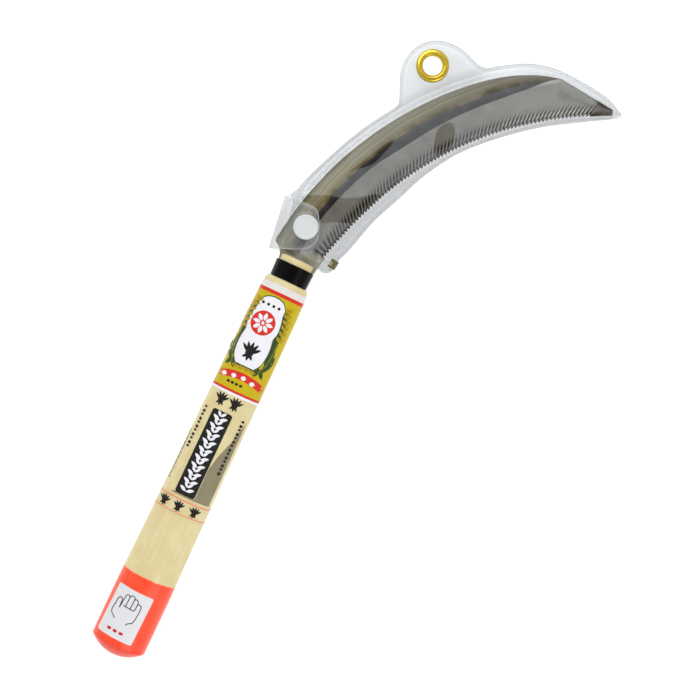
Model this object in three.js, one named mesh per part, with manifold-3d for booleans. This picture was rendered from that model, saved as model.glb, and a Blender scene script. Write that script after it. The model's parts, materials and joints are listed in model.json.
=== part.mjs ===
// A left-handed saw sickle in its clear vinyl blade sheath, lying at rest on a flat surface.
//
// Millimetres. The sickle is laid out in its own plane: Y runs along the handle's axis from the butt
// to the blade, X points to the cutting side, and Z points up through the blade's ground face, with
// Z = 0 at the middle of the blade's thickness. The whole is then turned into the pose in which it
// rests and centred over its own base.
import * as THREE from "three";
import { mergeVertices } from "three/addons/utils/BufferGeometryUtils.js";
import Module from "manifold-3d";

const wasm = await Module();
wasm.setup();

// ---- Driving dimensions ----

const GAP = 0.3; // running gap between touching pieces

// Handle: seven sun long, oval, with a domed butt.
const HANDLE_LENGTH = 212.4;
const OVAL = 0.86; // thickness over width, for the handle, ferrule and film
const RIM_Y = 6; // where the butt's dome meets the side
const SEAT_Y = 200.4; // shoulder under the ferrule
const SEAT_HALF = 8.45;
const ROUND_STEPS = 32;
const OUTLINE_STEPS = 3; // straight pieces for each point of a curved outline

// Half the handle's width at each height above the butt, between the dome and the shoulder.
const HANDLE_SIDE = [
  [RIM_Y, 13.8],
  [34, 13.8],
  [100, 12.7],
  [188, 11.7],
  [SEAT_Y - 1.6, 11.3],
  [SEAT_Y - 0.4, 10.8],
  [SEAT_Y, 10],
];

// Ferrule: a slightly flared black steel collar.
const FERRULE_LENGTH = 9.2;
const FERRULE_WALL = 0.8;
const FERRULE_HALF_BOTTOM = 9.6;
const FERRULE_HALF_TOP = 9.95;

// Blade: a ring sector about ARC, with one ground face and filed teeth.
const ARC = new THREE.Vector2(158, 199.2);
const SPINE_R = 173.2;
const EDGE_R = 145.8; // smallest radius of the toothed edge
const NARROW_DEG = 34; // and where it is
const BLADE_THICKNESS = 1.8;
const EDGE_THICKNESS = 0.35;
const HOLLOW_DEPTH = 0.6; // how far the ground face drops just below the band
const HOLLOW_WIDTH = 2.5;
const SHOULDER_DEG = 6.1;
const BEND_DEG = 45; // the spine leaves its arc here
const PEAK_DEG = 61.9; // and turns the corner towards the tip here
const PEAK_DROP = 5.4;
const TIP_DEG = 71;
const TIP_SPINE_R = 153.4;
const TOOTH_PITCH = 1.92;
const TOOTH_DEPTH = 1.15;
const TOOTH_LEAN = 0.3; // share of a pitch by which a point leans towards the handle
const TEETH_FROM_DEG = 8;
const TEETH_TO_DEG = 67.5;

// Tang and the pin that holds it.
const TANG_LENGTH = 70;
const TANG_HALF_TOP = 7.4;
const TANG_HALF_END = 3.6;
const PIN_RADIUS = 1.5;
const PIN_Y = 178;

// Paper and film on the handle.
const FILM_FROM_Y = 75;
const FILM_TO_Y = 197.4;
const FILM_THICKNESS = 0.2;
const FILM_GAP = 0.1;
const STICKER = { x: -1.9, y: 21.7, width: 19, height: 24.8, corner: 1, turnDeg: -1.5 };

// Sheath: two vinyl sheets welded round the blade.
const VINYL = 0.5;
const WELD_GAP = 0.15; // half the gap between the two sheets at the weld
const POUCH_HALF = 1.25; // half the space between the sheets over the blade
const SHEATH_SPINE_R = 178.3;
const SHEATH_EDGE_R = 140.3;
const SPINE_ROOM = 3.3; // room beside the spine inside the pouch
const EDGE_ROOM = 0.4;
const MOUTH_Y = 213;
const OPEN_TO_DEG = 15; // the spine side is not welded from the mouth up to here
const TAB_HOLE_R = 5.7;
const EYELET = { x: 19, y: 326.4, bore: 4.85, flange: 8.05, barrel: 5.3 };

// Closure strap: its fold line, and its tongue measured from the middle of that line.
const FOLD_LOW = new THREE.Vector2(-15.6, 212);
const FOLD_HIGH = new THREE.Vector2(-19.1, 238);
const STRAP_THICKNESS = 0.4;
const STRAP_Z = 4.8; // middle of the strap where it lies over the snap
const STRAP_RISE = 8; // how far from the fold it reaches that height
const STRAP_WALL_Z = 1.5;
const TONGUE_END = 21.8;
const SNAP = { x: -3.2, y: 228.4, cap: 6.15 };

// Clip on the mouth's corner, and how it sits along the blade's arc.
const CLIP = { deg: 7.5, length: 4.4, legs: 3.95, metal: 0.4, outerR: 140.8 };

// How the sickle lies on a flat surface: turned about the handle, then about X.
const REST_ROLL_DEG = 3.59;
const REST_PITCH_DEG = -0.62;

const RAD = Math.PI / 180;

// ---- Materials ----

const material = (color, roughness, metalness, opacity = 1) =>
  new THREE.MeshStandardMaterial({ color, roughness, metalness, opacity, transparent: opacity < 1 });

const WOOD = material(0xe3d7ae, 0.65, 0);
const STEEL = material(0x8b887e, 0.32, 1);
const BLACK_ENAMEL = material(0x0b0b0c, 0.2, 0.1);
const PIN_STEEL = material(0x77767a, 0.45, 1);
const FILM = material(0xe9d53a, 0.25, 0, 0.9);
const PAPER = material(0xe9e9ec, 0.55, 0);
const CLEAR_VINYL = material(0xe4e9ee, 0.12, 0, 0.3);
const BRASS = material(0xc7a52c, 0.25, 1);
const CLIP_METAL = material(0x9a9166, 0.35, 1);
const WHITE_PLASTIC = material(0xe6e9ee, 0.35, 0);

// ---- Small tools ----

// The manifold-3d solid of a closed three.js geometry.
function solidOf(geometry) {
  const bare = new THREE.BufferGeometry();
  const flat = geometry.index ? geometry.toNonIndexed() : geometry;
  bare.setAttribute("position", flat.getAttribute("position"));
  const merged = mergeVertices(bare, 1e-4);
  return new wasm.Manifold(
    new wasm.Mesh({
      numProp: 3,
      vertProperties: merged.attributes.position.array,
      triVerts: new Uint32Array(merged.index.array),
    }),
  );
}

// The three.js geometry of a manifold-3d solid.
function geometryOf(solid) {
  const { vertProperties, triVerts } = solid.getMesh();
  const geometry = new THREE.BufferGeometry();
  geometry.setAttribute("position", new THREE.BufferAttribute(vertProperties, 3));
  geometry.setIndex(new THREE.BufferAttribute(triVerts, 1));
  geometry.computeVertexNormals();
  return geometry;
}

function named(name, shape, look) {
  const geometry = shape.isBufferGeometry ? shape : geometryOf(shape);
  const mesh = new THREE.Mesh(geometry, look);
  mesh.name = name;
  return mesh;
}

const points = (pairs) => pairs.map(([x, y]) => new THREE.Vector2(x, y));

// A flat shape made solid between two heights.
function plate(shape, low, high, curveSegments = 12) {
  const geometry = new THREE.ExtrudeGeometry(shape, {
    depth: high - low,
    bevelEnabled: false,
    curveSegments,
  });
  return solidOf(geometry.translate(0, 0, low));
}

const disc = (x, y, radius) => new THREE.Shape().absarc(x, y, radius, 0, 2 * Math.PI, false);

// A profile of [radius, height] pairs turned about the vertical through x, y.
function turned(profile, x, y, steps = 32) {
  const geometry = new THREE.LatheGeometry(points(profile), steps);
  return geometry.rotateX(Math.PI / 2).translate(x, y, 0);
}

// The same, turned about the handle's axis and made oval.
const ovalTurned = (profile) =>
  new THREE.LatheGeometry(points(profile), ROUND_STEPS).scale(1, 1, OVAL);

// Sections of equal length joined into one closed body, with the ends filled by fans.
function loft(sections) {
  const count = sections[0].length;
  const middle = (section) =>
    section.reduce((sum, p) => sum.add(p), new THREE.Vector3()).divideScalar(count);
  const all = [...sections.flat(), middle(sections[0]), middle(sections.at(-1))];
  const index = [];
  for (let i = 0; i + 1 < sections.length; i++) {
    for (let j = 0; j < count; j++) {
      const a = i * count + j;
      const b = i * count + ((j + 1) % count);
      index.push(a, b, b + count, a, b + count, a + count);
    }
  }
  const last = (sections.length - 1) * count;
  for (let j = 0; j < count; j++) {
    const next = (j + 1) % count;
    index.push(all.length - 2, next, j, all.length - 1, last + j, last + next);
  }
  const geometry = new THREE.BufferGeometry().setFromPoints(all);
  geometry.setIndex(index);
  return solidOf(geometry);
}

// A point at radius r from the arc's centre, at an angle in degrees that grows from neck to tip.
const arcPoint = (r, deg) =>
  new THREE.Vector2(ARC.x - r * Math.cos(deg * RAD), ARC.y + r * Math.sin(deg * RAD));

const lerp = THREE.MathUtils.lerp;
const share = THREE.MathUtils.inverseLerp;

// The height y of a [height, value] list, by straight lines.
function along(list, y) {
  const next = Math.max(1, list.findIndex(([at]) => at >= y));
  const [[y0, v0], [y1, v1]] = [list[next - 1], list[next]];
  return lerp(v0, v1, share(y0, y1, y));
}

// ---- Handle, ferrule, film and sticker ----

// The butt is a shallow part of a sphere that reaches the side at the rim.
function domeProfile(steps) {
  const rim = HANDLE_SIDE[0][1];
  const radius = (rim ** 2 + RIM_Y ** 2) / (2 * RIM_Y);
  const full = Math.asin(rim / radius);
  return Array.from({ length: steps }, (_, i) => {
    const angle = (full * i) / steps;
    return [radius * Math.sin(angle), radius * (1 - Math.cos(angle))];
  });
}

function tangShape(grow) {
  const top = HANDLE_LENGTH + 1;
  const shape = new THREE.Shape();
  shape.moveTo(-TANG_HALF_TOP - grow, top);
  shape.lineTo(-TANG_HALF_END - grow, SEAT_Y + FERRULE_LENGTH - TANG_LENGTH);
  shape.lineTo(0, SEAT_Y + FERRULE_LENGTH - TANG_LENGTH - TANG_HALF_END - grow);
  shape.lineTo(TANG_HALF_END + grow, SEAT_Y + FERRULE_LENGTH - TANG_LENGTH);
  shape.lineTo(TANG_HALF_TOP + grow, top);
  return shape;
}

function makeHandle() {
  const profile = [
    ...domeProfile(5),
    ...HANDLE_SIDE.map(([y, half]) => [half, y]),
    [SEAT_HALF, SEAT_Y],
    [SEAT_HALF + 0.1, HANDLE_LENGTH - 0.5],
    [SEAT_HALF - 0.4, HANDLE_LENGTH],
    [0, HANDLE_LENGTH],
  ];
  const slotHalf = BLADE_THICKNESS / 2 + GAP;
  const slot = plate(tangShape(GAP), -slotHalf, slotHalf);
  // Above the ferrule the blade's neck is wider than the wood, so the slot is open at both sides.
  const open = new THREE.BoxGeometry(30, 10, 2 * slotHalf);
  open.translate(0, SEAT_Y + FERRULE_LENGTH - 0.4 + 5, 0);
  const pinHole = plate(disc(0, PIN_Y, PIN_RADIUS + GAP), -20, 20);
  const wood = solidOf(ovalTurned(profile));
  return wood.subtract(slot).subtract(solidOf(open)).subtract(pinHole);
}

function makeFerrule() {
  const low = SEAT_Y + 0.2;
  const high = SEAT_Y + FERRULE_LENGTH - 0.4;
  return ovalTurned([
    [FERRULE_HALF_BOTTOM - FERRULE_WALL, low],
    [FERRULE_HALF_BOTTOM, low],
    [FERRULE_HALF_TOP, high - 0.3],
    [FERRULE_HALF_TOP - 0.25, high],
    [FERRULE_HALF_TOP - FERRULE_WALL, high],
    [FERRULE_HALF_BOTTOM - FERRULE_WALL, low],
  ]);
}

function makeTangPin() {
  const half = OVAL * along(HANDLE_SIDE, PIN_Y) - 0.4;
  return turned(
    [
      [0, -half],
      [PIN_RADIUS, -half],
      [PIN_RADIUS, half],
      [0, half],
    ],
    0,
    PIN_Y,
    16,
  );
}

function makeLabelFilm() {
  const heights = [FILM_FROM_Y, 100, 188, FILM_TO_Y];
  const wall = (outset) => heights.map((y) => [along(HANDLE_SIDE, y) + outset, y]);
  const inner = wall(FILM_GAP);
  const outer = wall(FILM_GAP + FILM_THICKNESS);
  return ovalTurned([...outer, ...inner.reverse(), outer[0]]);
}

// A sheet of the handle's own curve, cut by a rounded rectangle pushed through its upper side.
function makeHandSticker() {
  const reach = [RIM_Y + 1, 38];
  const wall = (outset) => reach.map((y) => [along(HANDLE_SIDE, y) + outset, y]);
  const outer = wall(FILM_GAP + FILM_THICKNESS);
  const skin = solidOf(ovalTurned([...outer, ...wall(FILM_GAP).reverse(), outer[0]]));
  const { width, height, corner } = STICKER;
  const cut = new THREE.Shape();
  const [w, h] = [width / 2 - corner, height / 2 - corner];
  cut.absarc(w, h, corner, 0, Math.PI / 2);
  cut.absarc(-w, h, corner, Math.PI / 2, Math.PI);
  cut.absarc(-w, -h, corner, Math.PI, 1.5 * Math.PI);
  cut.absarc(w, -h, corner, 1.5 * Math.PI, 2 * Math.PI);
  const tool = plate(cut, 1, 30, 4)
    .rotate([0, 0, STICKER.turnDeg])
    .translate([STICKER.x, STICKER.y, 0]);
  return skin.intersect(tool);
}

// ---- Blade ----

// The straight back edge from the peak to the tip, as a radius for each angle.
function backLineR(deg) {
  const peak = arcPoint(SPINE_R - PEAK_DROP, PEAK_DEG);
  const tip = arcPoint(TIP_SPINE_R, TIP_DEG);
  const ray = arcPoint(1, deg).sub(ARC);
  const run = tip.clone().sub(peak);
  const start = peak.clone().sub(ARC);
  return start.cross(run) / ray.cross(run);
}

function spineR(deg) {
  if (deg > PEAK_DEG) return backLineR(deg);
  const bend = Math.max(0, share(BEND_DEG, PEAK_DEG, deg));
  return SPINE_R - PEAK_DROP * bend ** 3;
}

const EDGE_LINE = [
  [0, EDGE_R + 2.6],
  [8, EDGE_R + 2.2],
  [13, EDGE_R + 1.2],
  [21, EDGE_R + 0.4],
  [NARROW_DEG, EDGE_R],
  [45, EDGE_R + 0.6],
  [67.6, EDGE_R + 4],
  [TIP_DEG + 5, EDGE_R + 6.6],
];
const edgeR = (deg) => along(EDGE_LINE, deg);

// The line between the flat band along the spine and the ground face.
const BAND_LINE = [
  [0, 162.6],
  [14, 163.6],
  [45, 165.6],
  [PEAK_DEG, 168],
  [TIP_DEG + 5, 168],
];
const bandR = (deg) => Math.min(along(BAND_LINE, deg), spineR(deg) - 0.4);

// One section across the blade. The edge point may stand back by the tooth's depth.
function bladeSection(deg, notch, edgeDeg) {
  const [low, high] = [-BLADE_THICKNESS / 2, BLADE_THICKNESS / 2];
  const hollow = HOLLOW_WIDTH * Math.min(1, (spineR(deg) - edgeR(deg)) / 20);
  const edge = edgeR(edgeDeg) + notch;
  const at = (r, angle, z) => {
    const p = arcPoint(r, angle);
    return new THREE.Vector3(p.x, p.y, z);
  };
  return [
    at(spineR(deg), deg, low),
    at(spineR(deg), deg, high),
    at(bandR(deg), deg, high),
    at(bandR(deg) - hollow, deg, high - HOLLOW_DEPTH),
    at(edge, edgeDeg, low + EDGE_THICKNESS),
    at(edge, edgeDeg, low),
  ];
}

function makeBlade() {
  const sections = [bladeSection(SHOULDER_DEG + 1.2, 0.4, SHOULDER_DEG + 1.2)];
  const pitchDeg = TOOTH_PITCH / EDGE_R / RAD;
  const teeth = Math.floor((TEETH_TO_DEG - TEETH_FROM_DEG) / pitchDeg);
  for (let i = 0; i < teeth; i++) {
    const valley = TEETH_FROM_DEG + i * pitchDeg;
    sections.push(bladeSection(valley, TOOTH_DEPTH, valley));
    const point = valley + pitchDeg / 2;
    sections.push(bladeSection(point, 0, point - TOOTH_LEAN * pitchDeg));
  }
  const plain = TEETH_FROM_DEG + teeth * pitchDeg;
  for (const deg of [plain, (plain + TIP_DEG) / 2, TIP_DEG - 0.7, TIP_DEG]) {
    sections.push(bladeSection(deg, deg === TIP_DEG ? 0.8 : 0.3, deg));
  }
  const tang = tangShape(0);
  const base = new THREE.Shape();
  const seat = SEAT_Y + FERRULE_LENGTH;
  base.moveTo(-9, seat);
  base.quadraticCurveTo(-9.6, 213.2, -11.6, 214.8);
  base.lineTo(-14, 216.4);
  base.lineTo(...arcPoint(SPINE_R, SHOULDER_DEG).toArray());
  base.lineTo(...arcPoint(SPINE_R, SHOULDER_DEG + 1.7).toArray());
  base.lineTo(...arcPoint(bandR(9), SHOULDER_DEG + 1.7).toArray());
  base.lineTo(...arcPoint(edgeR(SHOULDER_DEG) + 0.3, SHOULDER_DEG + 1.25).toArray());
  base.quadraticCurveTo(10.5, 214, 9.9, seat);
  const half = BLADE_THICKNESS / 2;
  const pinHole = plate(disc(0, PIN_Y, PIN_RADIUS + GAP), -5, 5);
  return loft(sections)
    .add(plate(base, -half, half))
    .add(plate(tang, -half, half))
    .subtract(pinHole);
}

// ---- Sheath ----

// The welded edge from the mouth's clipped corner, round the tip and the hanging tab, to the strap.
function weldedEdge(shape) {
  shape.moveTo(10, MOUTH_Y);
  shape.splineThru(points([[13.2, 212.1], [15.7, 212.8], [17.1, 214.4], [17.4, 216.2]]));
  const onArc = (pairs) => pairs.map(([r, deg]) => arcPoint(r, deg));
  shape.splineThru(onArc([[141.5, 8.9], [SHEATH_EDGE_R, 12], [SHEATH_EDGE_R, 19]]));
  shape.splineThru(onArc([[SHEATH_EDGE_R, 26]]));
  shape.splineThru(onArc([[142.3, 33], [144, 41], [144.4, 50], [145.4, 58], [147.3, 67]]));
  shape.splineThru(onArc([[149, 71], [150.9, 72.6], [153.6, 72], [160.6, 69], [170.4, 62.8]]));
  shape.splineThru(onArc([[174.6, 59.7], [177.4, 56.2], [178.5, 52]]));
  const tab = [
    [44.6, 337.3], [40.2, 336.2], [35, 337.7], [30.3, 339.5], [24.3, 340.2], [18, 339.4],
    [12.6, 336.8], [8.6, 332.5], [6.2, 327], [5.6, 321], [6.4, 316], [8.3, 311.3], [10.8, 305.7],
    [11.8, 302.4],
  ];
  shape.splineThru(points(tab));
  shape.lineTo(...arcPoint(SHEATH_SPINE_R, 34.4).toArray());
  shape.splineThru(onArc([[SHEATH_SPINE_R, 28], [SHEATH_SPINE_R, 21], [SHEATH_SPINE_R + 0.6, 16]]));
  shape.splineThru(points([[-15.5, 242.8], [-17.2, 240.2]]));
}

// The upper sheet is cut back where the strap tucks round the spine.
function frontOutline() {
  const shape = new THREE.Shape();
  weldedEdge(shape);
  shape.lineTo(-13.6, 236);
  shape.lineTo(-12.3, 226);
  shape.lineTo(-8.9, MOUTH_Y + 0.2);
  return shape;
}

// The lower sheet runs on to the strap's fold.
function backOutline() {
  const shape = new THREE.Shape();
  weldedEdge(shape);
  const inset = new THREE.Vector2(0.9, 0.12);
  shape.lineTo(...FOLD_HIGH.clone().add(inset).toArray());
  shape.lineTo(...FOLD_LOW.clone().add(inset).toArray());
  shape.lineTo(-9.2, MOUTH_Y);
  return shape;
}

// The pouch that the blade lies in, grown outwards. It runs out past the mouth and, below the weld's
// end, past the spine side, so that a cut with it leaves both open.
function pouchOutline(grow) {
  const [from, to, steps] = [-1, TIP_DEG + 0.3 + grow / 2.6, 20];
  const degs = Array.from({ length: steps + 1 }, (_, i) => lerp(from, to, i / steps));
  // The edge side is as low at the mouth as at its lowest, so that the sheath slides off.
  const edge = degs.map((deg) => arcPoint(edgeR(Math.max(deg, NARROW_DEG)) - EDGE_ROOM - grow, deg));
  const back = [...degs, OPEN_TO_DEG - 0.01, OPEN_TO_DEG].sort((a, b) => b - a);
  const spine = back.map((deg) =>
    arcPoint(deg < OPEN_TO_DEG ? SPINE_R + 20 : spineR(deg) + SPINE_ROOM + grow, deg),
  );
  return new THREE.Shape([...edge, ...spine]);
}

// One vinyl sheet: flat at the weld and raised over the blade. side is 1 for the upper sheet and -1
// for the lower one.
function makeSheet(outline, side) {
  const between = (a, b) => [Math.min(side * a, side * b), Math.max(side * a, side * b)];
  const flange = plate(outline, ...between(WELD_GAP, WELD_GAP + VINYL), OUTLINE_STEPS);
  const raised = plate(pouchOutline(VINYL), ...between(WELD_GAP, POUCH_HALF + VINYL));
  const cavity = plate(pouchOutline(0), ...between(-1, POUCH_HALF));
  const cut = plate(outline, -10, 10, OUTLINE_STEPS);
  const hole = plate(disc(EYELET.x, EYELET.y, TAB_HOLE_R), -10, 10);
  return flange.add(raised.intersect(cut)).subtract(cavity).subtract(hole);
}

// The upper sheet has a low boss that makes room for the snap's inner cap.
function makeSheathFront() {
  const bossTop = 2.3;
  const boss = plate(disc(SNAP.x, SNAP.y, 7.3), POUCH_HALF, bossTop, 16);
  const room = plate(disc(SNAP.x, SNAP.y, 6.8), 0, bossTop - VINYL, 16);
  const postHole = plate(disc(SNAP.x, SNAP.y, 1.1), 0, 10);
  return makeSheet(frontOutline(), 1).add(boss).subtract(room).subtract(postHole);
}

const makeSheathBack = () => makeSheet(backOutline(), -1);

function makeEyelet() {
  const { x, y, bore, flange, barrel } = EYELET;
  return turned(
    [
      [bore, -1.75],
      [bore + 0.5, -2],
      [bore + 1.6, -1.85],
      [bore + 1.6, -1.6],
      [barrel, -1.5],
      [barrel, 0.95],
      [flange, 0.95],
      [flange, 1.2],
      [flange - 0.7, 1.9],
      [flange - 1, 2],
      [flange - 2, 2],
      [bore + 0.5, 1.6],
      [bore, 1],
      [bore, -1.75],
    ],
    x,
    y,
    24,
  );
}

function makeEyeletWasher() {
  const { x, y, flange, barrel } = EYELET;
  return turned(
    [
      [barrel + GAP, -1.3],
      [flange, -1.3],
      [flange, -0.9],
      [barrel + GAP, -0.9],
      [barrel + GAP, -1.3],
    ],
    x,
    y,
    24,
  );
}

// A folded strip that grips both sheets at the corner of the mouth.
function makeMouthClip() {
  const { deg, length, legs, metal, outerR } = CLIP;
  const leg = WELD_GAP + VINYL + GAP / 2;
  const section = new THREE.Shape();
  section.moveTo(0, -leg - metal);
  section.lineTo(legs, -leg - metal);
  section.lineTo(legs, -leg);
  section.lineTo(metal, -leg);
  section.lineTo(metal, leg);
  section.lineTo(legs, leg);
  section.lineTo(legs, leg + metal);
  section.lineTo(0, leg + metal);
  const strip = new THREE.ExtrudeGeometry(section, { depth: length, bevelEnabled: false });
  strip.rotateX(Math.PI / 2).translate(0, length / 2, 0);
  const place = arcPoint(outerR, deg);
  strip.rotateZ(Math.PI - deg * RAD).translate(place.x, place.y, 0);
  return strip;
}

function makeSnapPost() {
  return turned(
    [
      [0, 1.1],
      [SNAP.cap - 0.3, 1.1],
      [SNAP.cap - 0.3, 1.6],
      [0.7, 1.7],
      [0.7, 4.2],
      [0, 4.2],
    ],
    SNAP.x,
    SNAP.y,
    28,
  );
}

function makeSnapStud() {
  return turned(
    [
      [1, 2.45],
      [5, 2.45],
      [5, 2.9],
      [2.4, 3],
      [2, 3.4],
      [2.2, 3.9],
      [1.8, 4.3],
      [1, 4.3],
      [1, 2.45],
    ],
    SNAP.x,
    SNAP.y,
    28,
  );
}

// ---- Closure strap, which folds open about its fold line ----

const foldMiddle = FOLD_LOW.clone().add(FOLD_HIGH).divideScalar(2);
const foldDirection = FOLD_HIGH.clone().sub(FOLD_LOW).normalize();
const foldTurn = Math.atan2(foldDirection.y, foldDirection.x) - Math.PI / 2;
const foldHalf = FOLD_LOW.distanceTo(FOLD_HIGH) / 2;

function makeStrap() {
  const tongue = new THREE.Shape();
  tongue.moveTo(-1, -foldHalf);
  tongue.lineTo(12.5, 2.5 - foldHalf);
  tongue.quadraticCurveTo(TONGUE_END - 1, 4.5 - foldHalf, TONGUE_END, -3);
  tongue.quadraticCurveTo(TONGUE_END + 0.4, 6, 18.6, 9.5);
  tongue.quadraticCurveTo(17, foldHalf - 0.8, 13, foldHalf - 0.7);
  tongue.lineTo(-1, foldHalf);
  const half = STRAP_THICKNESS / 2;
  const side = new THREE.Shape(
    points([
      [-half, 0], [half, 0], [half, STRAP_WALL_Z - half], [STRAP_RISE, STRAP_Z - half],
      [TONGUE_END + 2, STRAP_Z - half], [TONGUE_END + 2, STRAP_Z + half],
      [STRAP_RISE, STRAP_Z + half], [-half, STRAP_WALL_Z + half],
    ]),
  );
  const swept = new THREE.ExtrudeGeometry(side, { depth: 2 * foldHalf + 2, bevelEnabled: false });
  swept.rotateX(Math.PI / 2).translate(0, foldHalf + 1, 0);
  const pinHole = plate(disc(SNAP.x, SNAP.y, 1), 0, 20);
  return solidOf(swept)
    .intersect(plate(tongue, -5, 20))
    .rotate([0, 0, foldTurn / RAD])
    .translate([foldMiddle.x, foldMiddle.y, 0])
    .subtract(pinHole);
}

function makeSnapSocket() {
  return turned(
    [
      [2.8, 3.2],
      [4.7, 3.2],
      [4.7, 4.2],
      [4.2, 4.5],
      [1, 4.5],
      [1, 4.4],
      [2.8, 4.4],
      [2.8, 3.2],
    ],
    SNAP.x,
    SNAP.y,
    28,
  );
}

function makeSnapCap() {
  const under = STRAP_Z + STRAP_THICKNESS / 2 + 0.1;
  return turned(
    [
      [0, 4.45],
      [0.7, 4.45],
      [0.7, under],
      [SNAP.cap - 0.2, under],
      [SNAP.cap, under + 0.3],
      [SNAP.cap - 0.1, under + 0.8],
      [SNAP.cap - 0.6, under + 1.15],
      [SNAP.cap - 1.6, under + 1.25],
      [0, under + 1.3],
    ],
    SNAP.x,
    SNAP.y,
    36,
  );
}

// ---- Assembly ----

const sickle = new THREE.Group();
sickle.add(
  named("handle", makeHandle(), WOOD),
  named("blade", makeBlade(), STEEL),
  named("ferrule", makeFerrule(), BLACK_ENAMEL),
  named("tang_pin", makeTangPin(), PIN_STEEL),
  named("label_film", makeLabelFilm(), FILM),
  named("hand_sticker", makeHandSticker(), PAPER),
);

const sheath = new THREE.Group();
sheath.add(
  named("sheath_front", makeSheathFront(), CLEAR_VINYL),
  named("sheath_back", makeSheathBack(), CLEAR_VINYL),
  named("eyelet", makeEyelet(), BRASS),
  named("eyelet_washer", makeEyeletWasher(), BRASS),
  named("mouth_clip", makeMouthClip(), CLIP_METAL),
  named("snap_post", makeSnapPost(), WHITE_PLASTIC),
  named("snap_stud", makeSnapStud(), WHITE_PLASTIC),
);

const closure = new THREE.Group();
closure.add(
  named("closure_strap", makeStrap(), CLEAR_VINYL),
  named("snap_socket", makeSnapSocket(), WHITE_PLASTIC),
  named("snap_cap", makeSnapCap(), WHITE_PLASTIC),
);

const lying = new THREE.Group();
lying.rotation.set(REST_PITCH_DEG * RAD, REST_ROLL_DEG * RAD, 0);
lying.add(sickle, sheath, closure);

// The origin is under the middle of the whole, on the surface it lies on.
const part = new THREE.Group();
part.add(lying);
part.updateMatrixWorld(true);
const box = new THREE.Box3().setFromObject(part, true);
const middle = box.getCenter(new THREE.Vector3());
lying.position.set(-middle.x, -middle.y, -box.min.z);

export default part;
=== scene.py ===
"""A left-handed saw sickle in its clear vinyl blade sheath.

Everything is laid out in millimetres in the sickle's own plane, as the CAD model is: Y runs along the
handle's axis from the butt, X points to the cutting side, and Z points up through the blade's ground
face, with Z = 0 at the middle of the blade's thickness. place() then carries each piece into the row
frame, by the pivot and the axis of the sheath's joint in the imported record.
"""

import json
import math

import bmesh
import bpy
import numpy as np
from mathutils import Matrix, Vector, noise
from mathutils.geometry import delaunay_2d_cdt


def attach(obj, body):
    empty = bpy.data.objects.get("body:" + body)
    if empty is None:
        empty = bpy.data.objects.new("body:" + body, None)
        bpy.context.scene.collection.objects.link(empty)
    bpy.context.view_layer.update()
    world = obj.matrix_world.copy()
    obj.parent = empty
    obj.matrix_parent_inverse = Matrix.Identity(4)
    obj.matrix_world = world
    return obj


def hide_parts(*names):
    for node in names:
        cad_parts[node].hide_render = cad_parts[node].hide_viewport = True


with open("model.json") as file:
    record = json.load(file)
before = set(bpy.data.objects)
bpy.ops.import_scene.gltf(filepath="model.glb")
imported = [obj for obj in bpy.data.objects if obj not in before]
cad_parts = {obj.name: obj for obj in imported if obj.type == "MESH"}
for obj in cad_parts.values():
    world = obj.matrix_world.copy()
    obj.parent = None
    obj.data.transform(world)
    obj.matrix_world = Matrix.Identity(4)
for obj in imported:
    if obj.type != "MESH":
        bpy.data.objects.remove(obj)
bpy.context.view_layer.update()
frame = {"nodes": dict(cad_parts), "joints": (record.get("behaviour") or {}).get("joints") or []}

SHEATH_OFF = next(joint for joint in frame["joints"] if joint["name"] == "sheath_off")
BLADE_NORMAL = -Vector(SHEATH_OFF["axis"]).normalized()
PIVOT = Vector(SHEATH_OFF["pos_m"])

# ---- Driving dimensions, in mm, as in the CAD model where nothing else is said ----

ARC = np.array([158.0, 199.2])  # centre of the blade's curve
SPINE_R = 173.2
EDGE_R = 145.8
NARROW_DEG = 34
BLADE_HALF = 0.9
EDGE_THICKNESS = 0.35
SHOULDER_DEG = 6.1
BEND_DEG, PEAK_DEG, TIP_DEG = 45, 61.9, 71
PEAK_DROP = 5.4
TIP_SPINE_R = 153.4
TOOTH_PITCH = 1.92
TOOTH_DEPTH = 1.5  # 1.15 in the CAD model
TEETH_FROM_DEG, TEETH_TO_DEG = 8, 67.5

HANDLE_LENGTH = 212.4
OVAL = 0.86  # the handle's height over its width
SEAT_Y = 200.4
FERRULE_LENGTH = 9.2
TANG_LENGTH = 70
KERF_FROM_Y = 208.9
PIN_Y = 178
PAINT_TO_Y = 42
CREASE_Y = 5.6
FILM_FROM_Y, FILM_TO_Y = 75, 197.4

WELD_GAP = 0.15
SHEET_GAP = WELD_GAP + 0.05  # from the blade's middle to a sheet where nothing lifts it
VINYL = 0.42  # 0.5 in the CAD model
MOUTH_Y = 213
EYELET = {"x": 19, "y": 326.4, "bore": 4.85, "flange": 8.05}
TAB_HOLE_R = 5.7
SNAP = {"x": -3.2, "y": 228.4, "cap": 6.15}
FOLD_LOW, FOLD_HIGH = np.array([-15.6, 212.0]), np.array([-19.1, 238.0])
STRAP_Z = 4.8
TONGUE_END = 21.8


# ---- The way from the sickle's plane to the row frame ----


def row_from_plane():
    roll = math.asin(BLADE_NORMAL.x)
    pitch = math.atan2(-BLADE_NORMAL.y, BLADE_NORMAL.z)
    lying = Matrix.Rotation(pitch, 4, "X") @ Matrix.Rotation(roll, 4, "Y")
    shift = Matrix.Translation((-ARC[0], -ARC[1], 0))
    return Matrix.Translation(PIVOT) @ lying @ Matrix.Scale(0.001, 4) @ shift


ROW = row_from_plane()


def in_row(x, y, z=0.0):
    return ROW @ Vector((x, y, z))


# ---- Camera: square on to the blade ----

VIEW_CENTRE = (41.6, 183.5)
VIEW_WIDTH = 342.3
CAMERA_DISTANCE = 800
HANDLE_LEAN_DEG = 25.19


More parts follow.
